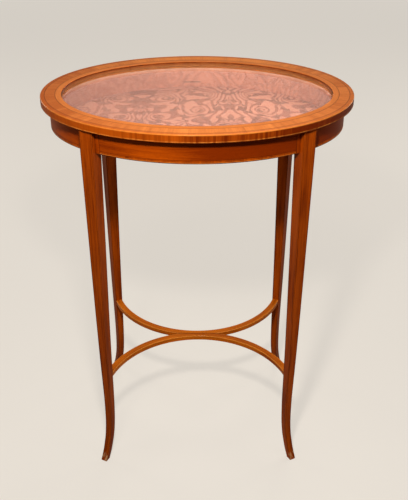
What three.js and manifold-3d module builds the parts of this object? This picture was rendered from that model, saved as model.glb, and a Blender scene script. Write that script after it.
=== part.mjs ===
// Oval display table with a glazed lid, in millimetres, +Z up, front towards -Y.
// The origin is on the floor under the middle of the oval.
import * as THREE from 'three';
import { mergeVertices } from 'three/addons/utils/BufferGeometryUtils.js';
import Module from 'manifold-3d';

const wasm = await Module();
wasm.setup();

// Overall size: the lid's outline and the height to the top of the lid
const tableWidth = 570;
const tableDepth = 418;
const tableHeight = 752;

// Clearance left between two pieces that are glued or rest on each other
const fitGap = 0.3;
// How far a cutting shape runs past the piece that it cuts
const overrun = 5;

// Lid frame, its rebate for the glass and the loose tongues in its joints
const lidThickness = 15;
const lidFrameWidth = 38;
const lidArrisRadius = 2.5;
const lidFootChamfer = 1;
const glassDrop = 9;
const rebateWidth = 5.5;
const tongueLength = 30;
const tongueWidth = 15;
const tongueThickness = 4;

// Glass and the beads under it
const glassThickness = 3;
const glassEdgeGap = 0.6;
const beadChamfer = 1;

// Frieze rails round the case
const lidOverhang = 15;
const friezeHeight = 43.2;
const railThickness = 17;
const railTenonLength = 9;
const railTenonThickness = 6;
const railTenonHeight = 30;

// Legs: square, turned to follow the oval, tapered, with an outswept foot
const legAngle = 47.2;
const legTurn = 28.5;
const legInset = 2.9;
const legTopWidth = 25.8;
const legAnkleWidth = 15;
const legFootWidth = 12.8;
const ankleHeight = 150;
const footRise = 90;
const footThrow = 26;

// The line of the leg's middle: share of footRise above the floor, share of footThrow outwards
const legLineShares = [
  [0, 1], [0.2, 0.62], [0.4, 0.35], [0.61, 0.13], [0.9, -0.02], [1.22, -0.08], [1.67, -0.1], [2.8, -0.03], [4, 0],
];

// Hooped stretchers
const stretcherHeight = 202;
const stretcherThickness = 10;
const stretcherWidth = 13.6;
const stretcherHalfWaist = 9.9;
const stretcherTenonLength = 8;
const stretcherTenonWidth = 6;
const stretcherTenonHeight = 5;
const stretcherScrewSpacing = 36;

// Bottom board, let a little way up into the rails
const boardThickness = 4;
const boardInset = 6;
const boardRebate = 2;

// Silk covered pieces inside the case
const liningThickness = 1.6;
const liningGap = 0.9;
const liningTopDrop = 1.2;
const padEdgeThickness = 1.2;
const padCrown = 1.4;
const padEdgeRound = 7;

// Brass butt hinges
const hingeSpacing = 72;
const hingeLength = 34;
const leafReach = 14;
const leafThickness = 1.6;
const knuckleRadius = 2.75;
const hingePinRadius = 1.1;
const axisStandOff = 2.5;
const knuckleRoom = 0.5;
const hingeScrewSpacing = 18;
const hingeScrewReach = 9.5;

// Wood screws: head radius, head depth, shank radius, length
const hingeScrew = { head: 2.3, headDepth: 1.3, shank: 1.15, length: 10 };
const boardScrew = { head: 3.2, headDepth: 1.8, shank: 1.6, length: 16 };
const stretcherScrew = { head: 2.7, headDepth: 1.5, shank: 1.35, length: 17 };
const screwSlotWidth = 0.6;
const screwSlotDepth = 0.6;
const screwHeadSink = 0.1;
const boardScrewSpacingShare = 0.5;

// How finely the curves are cut into flats
const outlineSteps = 96;
const segmentSteps = 24;
const railSteps = 20;
const hoopSteps = 30;
const legSteps = 22;
const roundSteps = 12;
const knuckleSteps = 16;
const searchSteps = 40;

// Places worked out from the sizes above
const halfWidth = tableWidth / 2;
const halfDepth = tableDepth / 2;
const lidBottom = tableHeight - lidThickness;
const railTop = lidBottom - fitGap;
const railBottom = railTop - friezeHeight;
const railOuter = lidOverhang;
const railInner = lidOverhang + railThickness;
const railMiddle = lidOverhang + railThickness / 2;
const glassTop = tableHeight - glassDrop - fitGap;
const glassBottom = glassTop - glassThickness;
const rebateOffset = lidFrameWidth - rebateWidth;
const boardTop = railBottom + boardRebate - fitGap;
const boardBottom = boardTop - boardThickness;
const boardEdge = railOuter + boardInset;
const liningOuter = railInner + liningGap;
const liningInner = liningOuter + liningThickness;
const liningBottom = boardTop + fitGap;
const hingeAxisY = halfDepth - lidOverhang + axisStandOff;
const hingeAxisZ = lidBottom - fitGap / 2;

const quadrants = [
  { name: 'front_left', x: -1, y: -1 },
  { name: 'front_right', x: 1, y: -1 },
  { name: 'rear_left', x: -1, y: 1 },
  { name: 'rear_right', x: 1, y: 1 },
];

// The four stretches of the oval, by the angles where they start and end
const sides = [
  { name: 'right', start: -legAngle, end: legAngle },
  { name: 'rear', start: legAngle, end: 180 - legAngle },
  { name: 'left', start: 180 - legAngle, end: 180 + legAngle },
  { name: 'front', start: 180 + legAngle, end: 360 - legAngle },
];

// Materials
const satinwood = () => new THREE.MeshStandardMaterial({ color: 0xb5631f, roughness: 0.35, metalness: 0 });
const darkSatinwood = () => new THREE.MeshStandardMaterial({ color: 0x8f4513, roughness: 0.4, metalness: 0 });
const paleWood = () => new THREE.MeshStandardMaterial({ color: 0xc49a62, roughness: 0.75, metalness: 0 });
const silk = () => new THREE.MeshStandardMaterial({ color: 0xd69880, roughness: 0.7, metalness: 0 });
const brass = () => new THREE.MeshStandardMaterial({ color: 0xb08a3e, roughness: 0.35, metalness: 1 });
const glass = () => new THREE.MeshStandardMaterial({
  color: 0xf2f6f4, roughness: 0.05, metalness: 0, transparent: true, opacity: 0.2,
});

// Joining and cutting
function solidOf(geometry) {
  const bare = geometry.clone();
  bare.deleteAttribute('normal');
  bare.deleteAttribute('uv');
  const merged = mergeVertices(bare);
  const vertProperties = new Float32Array(merged.attributes.position.array);
  const triVerts = new Uint32Array(merged.index.array);
  return new wasm.Manifold(new wasm.Mesh({ numProp: 3, vertProperties, triVerts }));
}

function geometryOf(solid) {
  const mesh = solid.getMesh();
  const geometry = new THREE.BufferGeometry();
  geometry.setAttribute('position', new THREE.Float32BufferAttribute(mesh.vertProperties, 3));
  geometry.setIndex(new THREE.Uint32BufferAttribute(mesh.triVerts, 1));
  geometry.computeVertexNormals();
  return geometry;
}

function cutFrom(geometry, cutters) {
  return geometryOf(cutters.reduce((rest, cutter) => rest.subtract(solidOf(cutter)), solidOf(geometry)));
}

function joinTo(geometry, additions) {
  return geometryOf(additions.reduce((whole, piece) => whole.add(solidOf(piece)), solidOf(geometry)));
}

// A box between two corners, each written as [x, y, z]
function boxBetween(low, high) {
  const size = high.map((value, i) => value - low[i]);
  const middle = high.map((value, i) => (value + low[i]) / 2);
  return new THREE.BoxGeometry(...size).translate(...middle);
}

// A round bar along X
function barAlongX(radius, startX, endX, y, z, steps) {
  return new THREE.CylinderGeometry(radius, radius, endX - startX, steps)
    .rotateZ(Math.PI / 2)
    .translate((startX + endX) / 2, y, z);
}

// A point on the oval, moved inwards from the lid's outline by an offset
function ovalPoint(angle, offset) {
  const normal = new THREE.Vector2(halfDepth * Math.cos(angle), halfWidth * Math.sin(angle)).normalize();
  const point = new THREE.Vector2(halfWidth * Math.cos(angle), halfDepth * Math.sin(angle));
  return point.addScaledVector(normal, -offset);
}

function ovalShape(offset) {
  const points = [];
  for (let i = 0; i < outlineSteps; i += 1) {
    points.push(ovalPoint((i / outlineSteps) * Math.PI * 2, offset));
  }
  return new THREE.Shape(points);
}

// A flat oval plate between two heights
function ovalPlate(offset, bottom, top) {
  return new THREE.ExtrudeGeometry(ovalShape(offset), { depth: top - bottom, bevelEnabled: false })
    .translate(0, 0, bottom);
}

// A stretch of the oval's outline, as a path at height zero
class OvalPath extends THREE.Curve {
  constructor(start, end) {
    super();
    this.start = start;
    this.end = end;
  }

  getPoint(share, target = new THREE.Vector3()) {
    const point = ovalPoint(this.start + (this.end - this.start) * share, 0);
    return target.set(point.x, point.y, 0);
  }
}

// A level circular arc about a centre, as a path at height zero
class HoopPath extends THREE.Curve {
  constructor(centreY, radius, halfAngle, side) {
    super();
    this.centreY = centreY;
    this.radius = radius;
    this.halfAngle = halfAngle;
    this.side = side;
  }

  getPoint(share, target = new THREE.Vector3()) {
    const angle = this.halfAngle * (2 * share - 1);
    const y = this.centreY - this.side * this.radius * Math.cos(angle);
    return target.set(this.side * this.radius * Math.sin(angle), y, 0);
  }
}

// Sweep a cross-section, written as [offset inwards, height] corners, along a level path
function sweep(corners, path, steps) {
  const section = new THREE.Shape(corners.map(([offset, height]) => new THREE.Vector2(-height, offset)));
  return new THREE.ExtrudeGeometry(section, { steps, extrudePath: path, bevelEnabled: false });
}

const radians = THREE.MathUtils.degToRad;

// A stretch of the oval that stops half a gap short of each of its ends
function sidePath(side) {
  const whole = new OvalPath(radians(side.start), radians(side.end));
  const trim = (fitGap / 2) / whole.getLength();
  const span = radians(side.end) - radians(side.start);
  return new OvalPath(radians(side.start) + trim * span, radians(side.end) - trim * span);
}

// Leg frame: x across the leg, y outwards, z up, with its origin on the floor
function legCentre(quadrant) {
  const point = ovalPoint(radians(legAngle), railOuter + legInset);
  return new THREE.Vector2(quadrant.x * point.x, quadrant.y * point.y);
}

function legRotation(quadrant) {
  const outX = quadrant.x * Math.sin(radians(legTurn));
  const outY = quadrant.y * Math.cos(radians(legTurn));
  return Math.atan2(-outX, outY);
}

function legMatrix(quadrant) {
  const centre = legCentre(quadrant);
  return new THREE.Matrix4().makeRotationZ(legRotation(quadrant)).setPosition(centre.x, centre.y, 0);
}

// The side of the leg, +1 or -1 along its own x, that faces the rail on the given stretch
function sideFacing(quadrant, isEndRail) {
  const handed = quadrant.x * quadrant.y;
  return isEndRail ? handed : -handed;
}

function legWidthAt(height) {
  if (height >= railBottom) {
    return legTopWidth;
  }
  if (height >= ankleHeight) {
    const share = (height - ankleHeight) / (railBottom - ankleHeight);
    return legAnkleWidth + (legTopWidth - legAnkleWidth) * share;
  }
  return legFootWidth + (legAnkleWidth - legFootWidth) * (height / ankleHeight);
}

const legLine = new THREE.SplineCurve(
  legLineShares.map(([rise, reach]) => new THREE.Vector2(rise * footRise, reach * footThrow)),
);

// How far outwards the leg's middle lies at a height
function legThrowAt(height) {
  const top = legLine.points[legLine.points.length - 1].x;
  if (height >= top) {
    return 0;
  }
  let low = 0;
  let high = 1;
  for (let i = 0; i < searchSteps; i += 1) {
    const middle = (low + high) / 2;
    if (legLine.getPoint(middle).x < height) {
      low = middle;
    } else {
      high = middle;
    }
  }
  return legLine.getPoint(low).y;
}

// Heights of the leg's rings: closer together in the curved foot, none between the rail's edges
function legHeights() {
  const heights = [];
  const curveTop = legLineShares[legLineShares.length - 1][0] * footRise;
  for (let i = 0; i <= legSteps; i += 1) {
    const share = i / legSteps;
    heights.push(curveTop * share * share);
  }
  return [...heights, railBottom, railTop];
}

// Where a curve of the oval crosses the side face of the leg, as a distance out along the leg's own y
function crossingOut(offset, across) {
  const quadrant = quadrants[3];
  const inverse = legMatrix(quadrant).invert();
  const local = (angle) => {
    const point = ovalPoint(angle, offset);
    return new THREE.Vector3(point.x, point.y, 0).applyMatrix4(inverse);
  };
  let low = 0;
  let high = Math.PI / 2;
  for (let i = 0; i < searchSteps; i += 1) {
    const middle = (low + high) / 2;
    if (local(middle).x > across) {
      low = middle;
    } else {
      high = middle;
    }
  }
  return local(low).y;
}

// A rail's tenon in the leg's frame, made larger by a clearance for its mortise
function railTenon(quadrant, isEndRail, root, clearance) {
  const facing = sideFacing(quadrant, isEndRail);
  const across = legTopWidth / 2;
  const out = crossingOut(railMiddle, isEndRail ? across : -across);
  const inner = facing * (across - railTenonLength - clearance);
  const outer = facing * (across + root);
  const middleZ = (railTop + railBottom) / 2;
  const low = [Math.min(inner, outer), out - railTenonThickness / 2 - clearance];
  const high = [Math.max(inner, outer), out + railTenonThickness / 2 + clearance];
  const halfHeight = railTenonHeight / 2 + clearance;
  return boxBetween([...low, middleZ - halfHeight], [...high, middleZ + halfHeight]);
}

// How far in from the leg's middle line its inner face lies at the stretcher
const stretcherSeat = legWidthAt(stretcherHeight) / 2 - legThrowAt(stretcherHeight);

// A stretcher's tenon in the leg's frame, made larger by a clearance for its mortise
function stretcherTenon(root, clearance) {
  const halfTenon = stretcherTenonWidth / 2 + clearance;
  const halfHeight = stretcherTenonHeight / 2 + clearance;
  return boxBetween(
    [-halfTenon, -stretcherSeat - root, stretcherHeight - halfHeight],
    [halfTenon, -stretcherSeat + stretcherTenonLength + clearance, stretcherHeight + halfHeight],
  );
}

function legGeometry(quadrant) {
  const heights = legHeights();
  const blank = new THREE.BoxGeometry(1, 1, 1, 1, 1, heights.length - 1);
  const position = blank.attributes.position;
  for (let i = 0; i < position.count; i += 1) {
    const ring = Math.round((position.getZ(i) + 1 / 2) * (heights.length - 1));
    const height = heights[ring];
    const width = legWidthAt(height);
    position.setXYZ(i, position.getX(i) * width, position.getY(i) * width + legThrowAt(height), height);
  }
  return cutFrom(blank, [
    railTenon(quadrant, true, overrun, fitGap),
    railTenon(quadrant, false, overrun, fitGap),
    stretcherTenon(overrun, fitGap),
  ]);
}

function buildLeg(quadrant) {
  const leg = new THREE.Mesh(legGeometry(quadrant), darkSatinwood());
  const centre = legCentre(quadrant);
  leg.name = `${quadrant.name}_leg`;
  leg.position.set(centre.x, centre.y, 0);
  leg.rotation.z = legRotation(quadrant);
  return leg;
}

// Screws: the head's top is at the origin and the point is down
function screwProfile(screw, clearance) {
  const head = screw.head + clearance;
  const shank = screw.shank + clearance;
  const neck = screw.headDepth;
  const shoulder = screw.length - screw.shank * 2;
  return [
    new THREE.Vector2(0, -screw.length - clearance),
    new THREE.Vector2(shank, -shoulder),
    new THREE.Vector2(shank, -neck),
    new THREE.Vector2(head, 0),
    new THREE.Vector2(0, 0),
  ];
}

function screwGeometry(screw) {
  const body = new THREE.LatheGeometry(screwProfile(screw, 0), roundSteps).rotateX(Math.PI / 2);
  const slot = boxBetween(
    [-screw.head - overrun, -screwSlotWidth / 2, -screwSlotDepth],
    [screw.head + overrun, screwSlotWidth / 2, overrun],
  );
  return cutFrom(body, [slot]);
}

// The room that a screw needs, with the space above its head
function screwRoom(screw, matrix) {
  const body = new THREE.LatheGeometry(screwProfile(screw, fitGap), roundSteps).rotateX(Math.PI / 2);
  const above = new THREE.CylinderGeometry(screw.head + fitGap, screw.head + fitGap, overrun, roundSteps)
    .rotateX(Math.PI / 2)
    .translate(0, 0, overrun / 2);
  return joinTo(body, [above]).applyMatrix4(matrix);
}

function buildScrew(name, screw, matrix) {
  const mesh = new THREE.Mesh(screwGeometry(screw), brass());
  mesh.name = name;
  matrix.decompose(mesh.position, mesh.quaternion, mesh.scale);
  return mesh;
}

// Screws point down as made, so these turn one to point up or along Y
const pointDown = new THREE.Matrix4();
const pointUp = new THREE.Matrix4().makeRotationX(Math.PI);
const pointForward = new THREE.Matrix4().makeRotationX(-Math.PI / 2);

function placed(turn, x, y, z) {
  return turn.clone().setPosition(x, y, z);
}

// Hinges, by the X of their middle
const hingeMiddles = [
  { name: 'left', x: -hingeSpacing / 2 },
  { name: 'right', x: hingeSpacing / 2 },
];

function hingeScrewPlaces(hinge, isLidLeaf) {
  const y = hingeAxisY - hingeScrewReach;
  const z = isLidLeaf ? lidBottom + screwHeadSink : railTop - screwHeadSink;
  return [-hingeScrewSpacing / 2, hingeScrewSpacing / 2].map(
    (shift) => placed(isLidLeaf ? pointUp : pointDown, hinge.x + shift, y, z),
  );
}

// The leaf's recess in the wood, and the round room for the knuckles
function leafRoom(hinge, isLidLeaf) {
  const startX = hinge.x - hingeLength / 2 - fitGap;
  const endX = hinge.x + hingeLength / 2 + fitGap;
  const backY = hingeAxisY - leafReach - fitGap;
  const depth = leafThickness + fitGap;
  const low = isLidLeaf ? lidBottom - overrun : railTop - depth;
  const high = isLidLeaf ? lidBottom + depth : railTop + overrun;
  const recess = boxBetween([startX, backY, low], [endX, hingeAxisY, high]);
  const room = barAlongX(knuckleRadius + knuckleRoom, startX, endX, hingeAxisY, hingeAxisZ, knuckleSteps);
  return [recess, room];
}

function hingeCuts(isLidLeaf) {
  return hingeMiddles.flatMap((hinge) => [
    ...leafRoom(hinge, isLidLeaf),
    ...hingeScrewPlaces(hinge, isLidLeaf).map((place) => screwRoom(hingeScrew, place)),
  ]);
}

// Start and end, along X, of each of a hinge's five knuckles
function knuckleSpans(hinge) {
  const count = 5;
  const length = (hingeLength - fitGap * (count - 1)) / count;
  const first = hinge.x - hingeLength / 2;
  return Array.from({ length: count }, (_, i) => {
    const start = first + i * (length + fitGap);
    return { start, end: start + length, onCase: i % 2 === 0 };
  });
}

function leafGeometry(hinge, isLidLeaf) {
  const low = isLidLeaf ? lidBottom : railTop - leafThickness;
  const plate = boxBetween(
    [hinge.x - hingeLength / 2, hingeAxisY - leafReach, low],
    [hinge.x + hingeLength / 2, hingeAxisY, low + leafThickness],
  );
  const spans = knuckleSpans(hinge);
  const own = spans.filter((span) => span.onCase !== isLidLeaf);
  const other = spans.filter((span) => span.onCase === isLidLeaf);
  const notches = other.map((span) => barAlongX(
    knuckleRadius + fitGap, span.start - fitGap, span.end + fitGap, hingeAxisY, hingeAxisZ, knuckleSteps,
  ));
  const knuckles = own.map((span) => barAlongX(
    knuckleRadius, span.start, span.end, hingeAxisY, hingeAxisZ, knuckleSteps,
  ));
  const bore = barAlongX(
    hingePinRadius + fitGap,
    hinge.x - hingeLength / 2 - overrun,
    hinge.x + hingeLength / 2 + overrun,
    hingeAxisY,
    hingeAxisZ,
    knuckleSteps,
  );
  const screwRooms = hingeScrewPlaces(hinge, isLidLeaf).map((place) => screwRoom(hingeScrew, place));
  return cutFrom(joinTo(cutFrom(plate, notches), knuckles), [bore, ...screwRooms]);
}

function buildLeaf(hinge, isLidLeaf) {
  const leaf = new THREE.Mesh(leafGeometry(hinge, isLidLeaf), brass());
  leaf.name = `${hinge.name}_hinge_${isLidLeaf ? 'lid' : 'case'}_leaf`;
  return leaf;
}

function buildHingePin(hinge) {
  const geometry = new THREE.CylinderGeometry(hingePinRadius, hingePinRadius, hingeLength, knuckleSteps);
  const pin = new THREE.Mesh(geometry, brass());
  pin.name = `${hinge.name}_hinge_pin`;
  pin.rotation.z = Math.PI / 2;
  pin.position.set(hinge.x, hingeAxisY, hingeAxisZ);
  return pin;
}

function buildHingeScrews(hinge, isLidLeaf) {
  const leafName = isLidLeaf ? 'lid' : 'case';
  return hingeScrewPlaces(hinge, isLidLeaf).map((place, i) => (
    buildScrew(`${hinge.name}_hinge_${leafName}_screw_${i + 1}`, hingeScrew, place)
  ));
}

// Board screws: two up into each rail, from under the bottom board
function boardScrewPlaces(side) {
  const middle = radians((side.start + side.end) / 2);
  const span = radians(side.end - side.start);
  return [-1, 1].map((hand) => {
    const angle = middle + hand * span * boardScrewSpacingShare / 2;
    const point = ovalPoint(angle, (boardEdge + railInner) / 2);
    return placed(pointUp, point.x, point.y, boardBottom + screwHeadSink);
  });
}

const allBoardScrews = sides.flatMap((side) => (
  boardScrewPlaces(side).map((place, i) => ({ name: `board_screw_${side.name}_${i + 1}`, place }))
));

// A rail runs into the legs at both ends, where it is cut off at their faces and gets its tenons
function railGeometry(side) {
  const isEndRail = side.name === 'left' || side.name === 'right';
  const section = [
    [railOuter, railBottom], [railOuter, railTop], [railInner, railTop], [railInner, railBottom + boardRebate],
    [boardEdge - fitGap, railBottom + boardRebate], [boardEdge - fitGap, railBottom],
  ];
  const path = new OvalPath(radians(side.start), radians(side.end));
  const corners = quadrants.filter((quadrant) => isTouching(side, quadrant));
  const offCuts = corners.map((quadrant) => {
    const facing = sideFacing(quadrant, isEndRail);
    const face = facing * (legTopWidth / 2 + fitGap);
    const past = -facing * legTopWidth * 2;
    const low = [Math.min(face, past), -legTopWidth * 2, railBottom - overrun];
    const high = [Math.max(face, past), legTopWidth * 2, railTop + overrun];
    return boxBetween(low, high).applyMatrix4(legMatrix(quadrant));
  });
  const tenons = corners.map((quadrant) => (
    railTenon(quadrant, isEndRail, overrun, 0).applyMatrix4(legMatrix(quadrant))
  ));
  const screwRooms = boardScrewPlaces(side).map((place) => screwRoom(boardScrew, place));
  const hingeRooms = side.name === 'rear' ? hingeCuts(false) : [];
  const rail = cutFrom(sweep(section, path, railSteps), offCuts);
  return cutFrom(joinTo(rail, tenons), [...screwRooms, ...hingeRooms]);
}

// Whether a stretch of the oval ends at the leg of a quadrant
function isTouching(side, quadrant) {
  const centre = legCentre(quadrant);
  return [side.start, side.end].some((angle) => {
    const point = ovalPoint(radians(angle), railOuter + legInset);
    return point.distanceTo(centre) < legTopWidth;
  });
}

function buildRail(side) {
  const rail = new THREE.Mesh(railGeometry(side), satinwood());
  rail.name = `${side.name}_rail`;
  return rail;
}

// Stretchers: circular hoops through the middle of the legs' inner faces
function hoop(side) {
  const quadrant = quadrants.find((each) => each.y === side && each.x === 1);
  const seat = new THREE.Vector3(0, -stretcherSeat, 0).applyMatrix4(legMatrix(quadrant));
  const waist = stretcherHalfWaist - stretcherWidth / 2;
  const rise = Math.abs(seat.y) - waist;
  const radius = (seat.x * seat.x + rise * rise) / (2 * rise);
  const halfAngle = Math.atan2(seat.x, radius - rise);
  return { centreY: side * (waist + radius), radius, halfAngle };
}

function stretcherScrewPlaces() {
  const y = stretcherHalfWaist - screwHeadSink;
  return [-stretcherScrewSpacing / 2, stretcherScrewSpacing / 2].map(
    (x) => placed(pointForward, x, y + hoopRise(x), stretcherHeight),
  );
}

// How far a hoop's hollow face has curved away from its waist at an X
function hoopRise(x) {
  const radius = hoop(1).radius - stretcherWidth / 2;
  return radius - Math.sqrt(radius * radius - x * x);
}

function stretcherGeometry(side) {
  const arc = hoop(side);
  const extra = overrun / arc.radius;
  const path = new HoopPath(arc.centreY, arc.radius, arc.halfAngle + extra, side);
  const low = stretcherHeight - stretcherThickness / 2;
  const high = stretcherHeight + stretcherThickness / 2;
  const half = stretcherWidth / 2;
  const blank = sweep([[-half, low], [-half, high], [half, high], [half, low]], path, hoopSteps);
  const legs = quadrants.filter((quadrant) => quadrant.y === side);
  const offCuts = legs.map((quadrant) => boxBetween(
    [-legTopWidth, -stretcherSeat - fitGap, low - overrun],
    [legTopWidth, legTopWidth, high + overrun],
  ).applyMatrix4(legMatrix(quadrant)));
  const tenons = legs.map((quadrant) => stretcherTenon(overrun, 0).applyMatrix4(legMatrix(quadrant)));
  const faceY = side * fitGap / 2;
  const farY = -side * stretcherWidth;
  const flat = boxBetween(
    [-halfWidth, Math.min(faceY, farY), low - overrun],
    [halfWidth, Math.max(faceY, farY), high + overrun],
  );
  const screwRooms = stretcherScrewPlaces().map((place) => screwRoom(stretcherScrew, place));
  return cutFrom(joinTo(cutFrom(blank, [...offCuts, flat]), tenons), screwRooms);
}

function buildStretcher(name, side) {
  const stretcher = new THREE.Mesh(stretcherGeometry(side), satinwood());
  stretcher.name = name;
  return stretcher;
}

// Bottom board, notched round the legs
function buildBottomBoard() {
  const notches = quadrants.map((quadrant) => {
    const half = legTopWidth / 2 + fitGap;
    return boxBetween([-half, -half, boardBottom - overrun], [half, half, boardTop + overrun])
      .applyMatrix4(legMatrix(quadrant));
  });
  const screwRooms = allBoardScrews.map((screw) => screwRoom(boardScrew, screw.place));
  const plate = ovalPlate(boardEdge, boardBottom, boardTop);
  const board = new THREE.Mesh(cutFrom(plate, [...notches, ...screwRooms]), paleWood());
  board.name = 'bottom_board';
  return board;
}

// Silk lining round the case's wall
function buildWallLining() {
  const shape = ovalShape(liningOuter);
  shape.holes.push(ovalShape(liningInner));
  const height = railTop - liningTopDrop - liningBottom;
  const lining = new THREE.Mesh(
    new THREE.ExtrudeGeometry(shape, { depth: height, bevelEnabled: false }),
    silk(),
  );
  lining.name = 'wall_lining';
  lining.position.z = liningBottom;
  return lining;
}

// Base pad: flat below, with a soft edge and a low crown. Rings are [inset, height] from edge to middle
function padRings() {
  const edge = liningInner + fitGap;
  const middle = halfDepth - edge;
  return [
    [0, 0], [0, padEdgeThickness / 2], [padEdgeRound / 4, padEdgeThickness],
    [padEdgeRound, padEdgeThickness + padCrown / 3], [middle / 3, padEdgeThickness + padCrown * 2 / 3],
    [middle * 2 / 3, padEdgeThickness + padCrown],
  ].map(([inset, height]) => ({ offset: edge + inset, height }));
}

function buildBasePad() {
  const rings = padRings();
  const points = [];
  const faces = [];
  rings.forEach((ring) => {
    for (let i = 0; i < outlineSteps; i += 1) {
      const point = ovalPoint((i / outlineSteps) * Math.PI * 2, ring.offset);
      points.push(point.x, point.y, ring.height);
    }
  });
  const bottomMiddle = points.length / 3;
  points.push(0, 0, 0);
  const topMiddle = bottomMiddle + 1;
  points.push(0, 0, rings[rings.length - 1].height);
  const last = (rings.length - 1) * outlineSteps;
  for (let i = 0; i < outlineSteps; i += 1) {
    const next = (i + 1) % outlineSteps;
    faces.push(bottomMiddle, next, i);
    faces.push(topMiddle, last + i, last + next);
    for (let ring = 0; ring < rings.length - 1; ring += 1) {
      const lower = ring * outlineSteps;
      const upper = lower + outlineSteps;
      faces.push(lower + i, lower + next, upper + next);
      faces.push(lower + i, upper + next, upper + i);
    }
  }
  const geometry = new THREE.BufferGeometry();
  geometry.setAttribute('position', new THREE.Float32BufferAttribute(points, 3));
  geometry.setIndex(faces);
  geometry.computeVertexNormals();
  const pad = new THREE.Mesh(geometry, silk());
  pad.name = 'base_pad';
  pad.position.z = boardTop + fitGap;
  return pad;
}

// Loose tongues across the joints of the lid frame, in the frame of the joint
function tongueMatrix(angle) {
  const point = ovalPoint(angle, rebateOffset / 2);
  const outward = ovalPoint(angle, 0).sub(point);
  return new THREE.Matrix4()
    .makeRotationZ(Math.atan2(-outward.x, outward.y))
    .setPosition(point.x, point.y, lidBottom + lidThickness / 2);
}

function tongueBlock(clearance) {
  return new THREE.BoxGeometry(
    tongueLength + 2 * clearance,
    tongueWidth + 2 * clearance,
    tongueThickness + 2 * clearance,
  );
}

function buildTongue(side) {
  const tongue = new THREE.Mesh(tongueBlock(0), paleWood());
  const matrix = tongueMatrix(radians(side.start));
  tongue.name = `lid_tongue_${side.name}`;
  matrix.decompose(tongue.position, tongue.quaternion, tongue.scale);
  return tongue;
}

// Lid frame section: rounded at the top of its edge, chamfered at the foot, rebated from below
function lidSection() {
  const corners = [[0, lidBottom + lidFootChamfer]];
  const arcSteps = 3;
  for (let i = 0; i <= arcSteps; i += 1) {
    const angle = (i / arcSteps) * Math.PI / 2;
    corners.push([
      lidArrisRadius * (1 - Math.cos(angle)),
      tableHeight - lidArrisRadius * (1 - Math.sin(angle)),
    ]);
  }
  return [
    ...corners,
    [lidFrameWidth, tableHeight],
    [lidFrameWidth, tableHeight - glassDrop],
    [rebateOffset, tableHeight - glassDrop],
    [rebateOffset, lidBottom],
    [lidFootChamfer, lidBottom],
  ];
}

function buildLidSegment(side) {
  const blank = sweep(lidSection(), sidePath(side), segmentSteps);
  const slots = [side.start, side.end].map((angle) => (
    tongueBlock(fitGap).applyMatrix4(tongueMatrix(radians(angle)))
  ));
  const hingeRooms = side.name === 'rear' ? hingeCuts(true) : [];
  const segment = new THREE.Mesh(cutFrom(blank, [...slots, ...hingeRooms]), satinwood());
  segment.name = `lid_frame_${side.name}`;
  return segment;
}

function buildBead(side) {
  const low = lidBottom;
  const high = glassBottom - fitGap;
  const outer = rebateOffset + fitGap;
  const section = [
    [outer, low], [outer, high], [lidFrameWidth, high],
    [lidFrameWidth, low + beadChamfer], [lidFrameWidth - beadChamfer, low],
  ];
  const bead = new THREE.Mesh(sweep(section, sidePath(side), segmentSteps), darkSatinwood());
  bead.name = `glazing_bead_${side.name}`;
  return bead;
}

function buildGlass() {
  const pane = new THREE.Mesh(ovalPlate(rebateOffset + glassEdgeGap, glassBottom, glassTop), glass());
  pane.name = 'glass_pane';
  return pane;
}

// The whole table: the standing part and the lid that turns on the hinges
const standing = new THREE.Group();
standing.add(...quadrants.map(buildLeg));
standing.add(...sides.map(buildRail));
standing.add(buildStretcher('front_stretcher', -1), buildStretcher('rear_stretcher', 1));
standing.add(...stretcherScrewPlaces().map((place, i) => (
  buildScrew(`stretcher_screw_${i + 1}`, stretcherScrew, place)
)));
standing.add(buildBottomBoard(), buildWallLining(), buildBasePad());
standing.add(...allBoardScrews.map((screw) => buildScrew(screw.name, boardScrew, screw.place)));

const lid = new THREE.Group();
lid.add(...sides.map(buildLidSegment));
lid.add(...sides.map(buildTongue));
lid.add(...sides.map(buildBead));
lid.add(buildGlass());

hingeMiddles.forEach((hinge) => {
  standing.add(buildLeaf(hinge, false), buildHingePin(hinge), ...buildHingeScrews(hinge, false));
  lid.add(buildLeaf(hinge, true), ...buildHingeScrews(hinge, true));
});

const group = new THREE.Group();
group.add(standing, lid);

export default group;
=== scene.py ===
"""Oval display table: veneers, string lines, shaped legs, silk lining and glass round the packed frame."""

import math

import bmesh
import bpy
import numpy as np
from mathutils import Matrix, Vector


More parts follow.
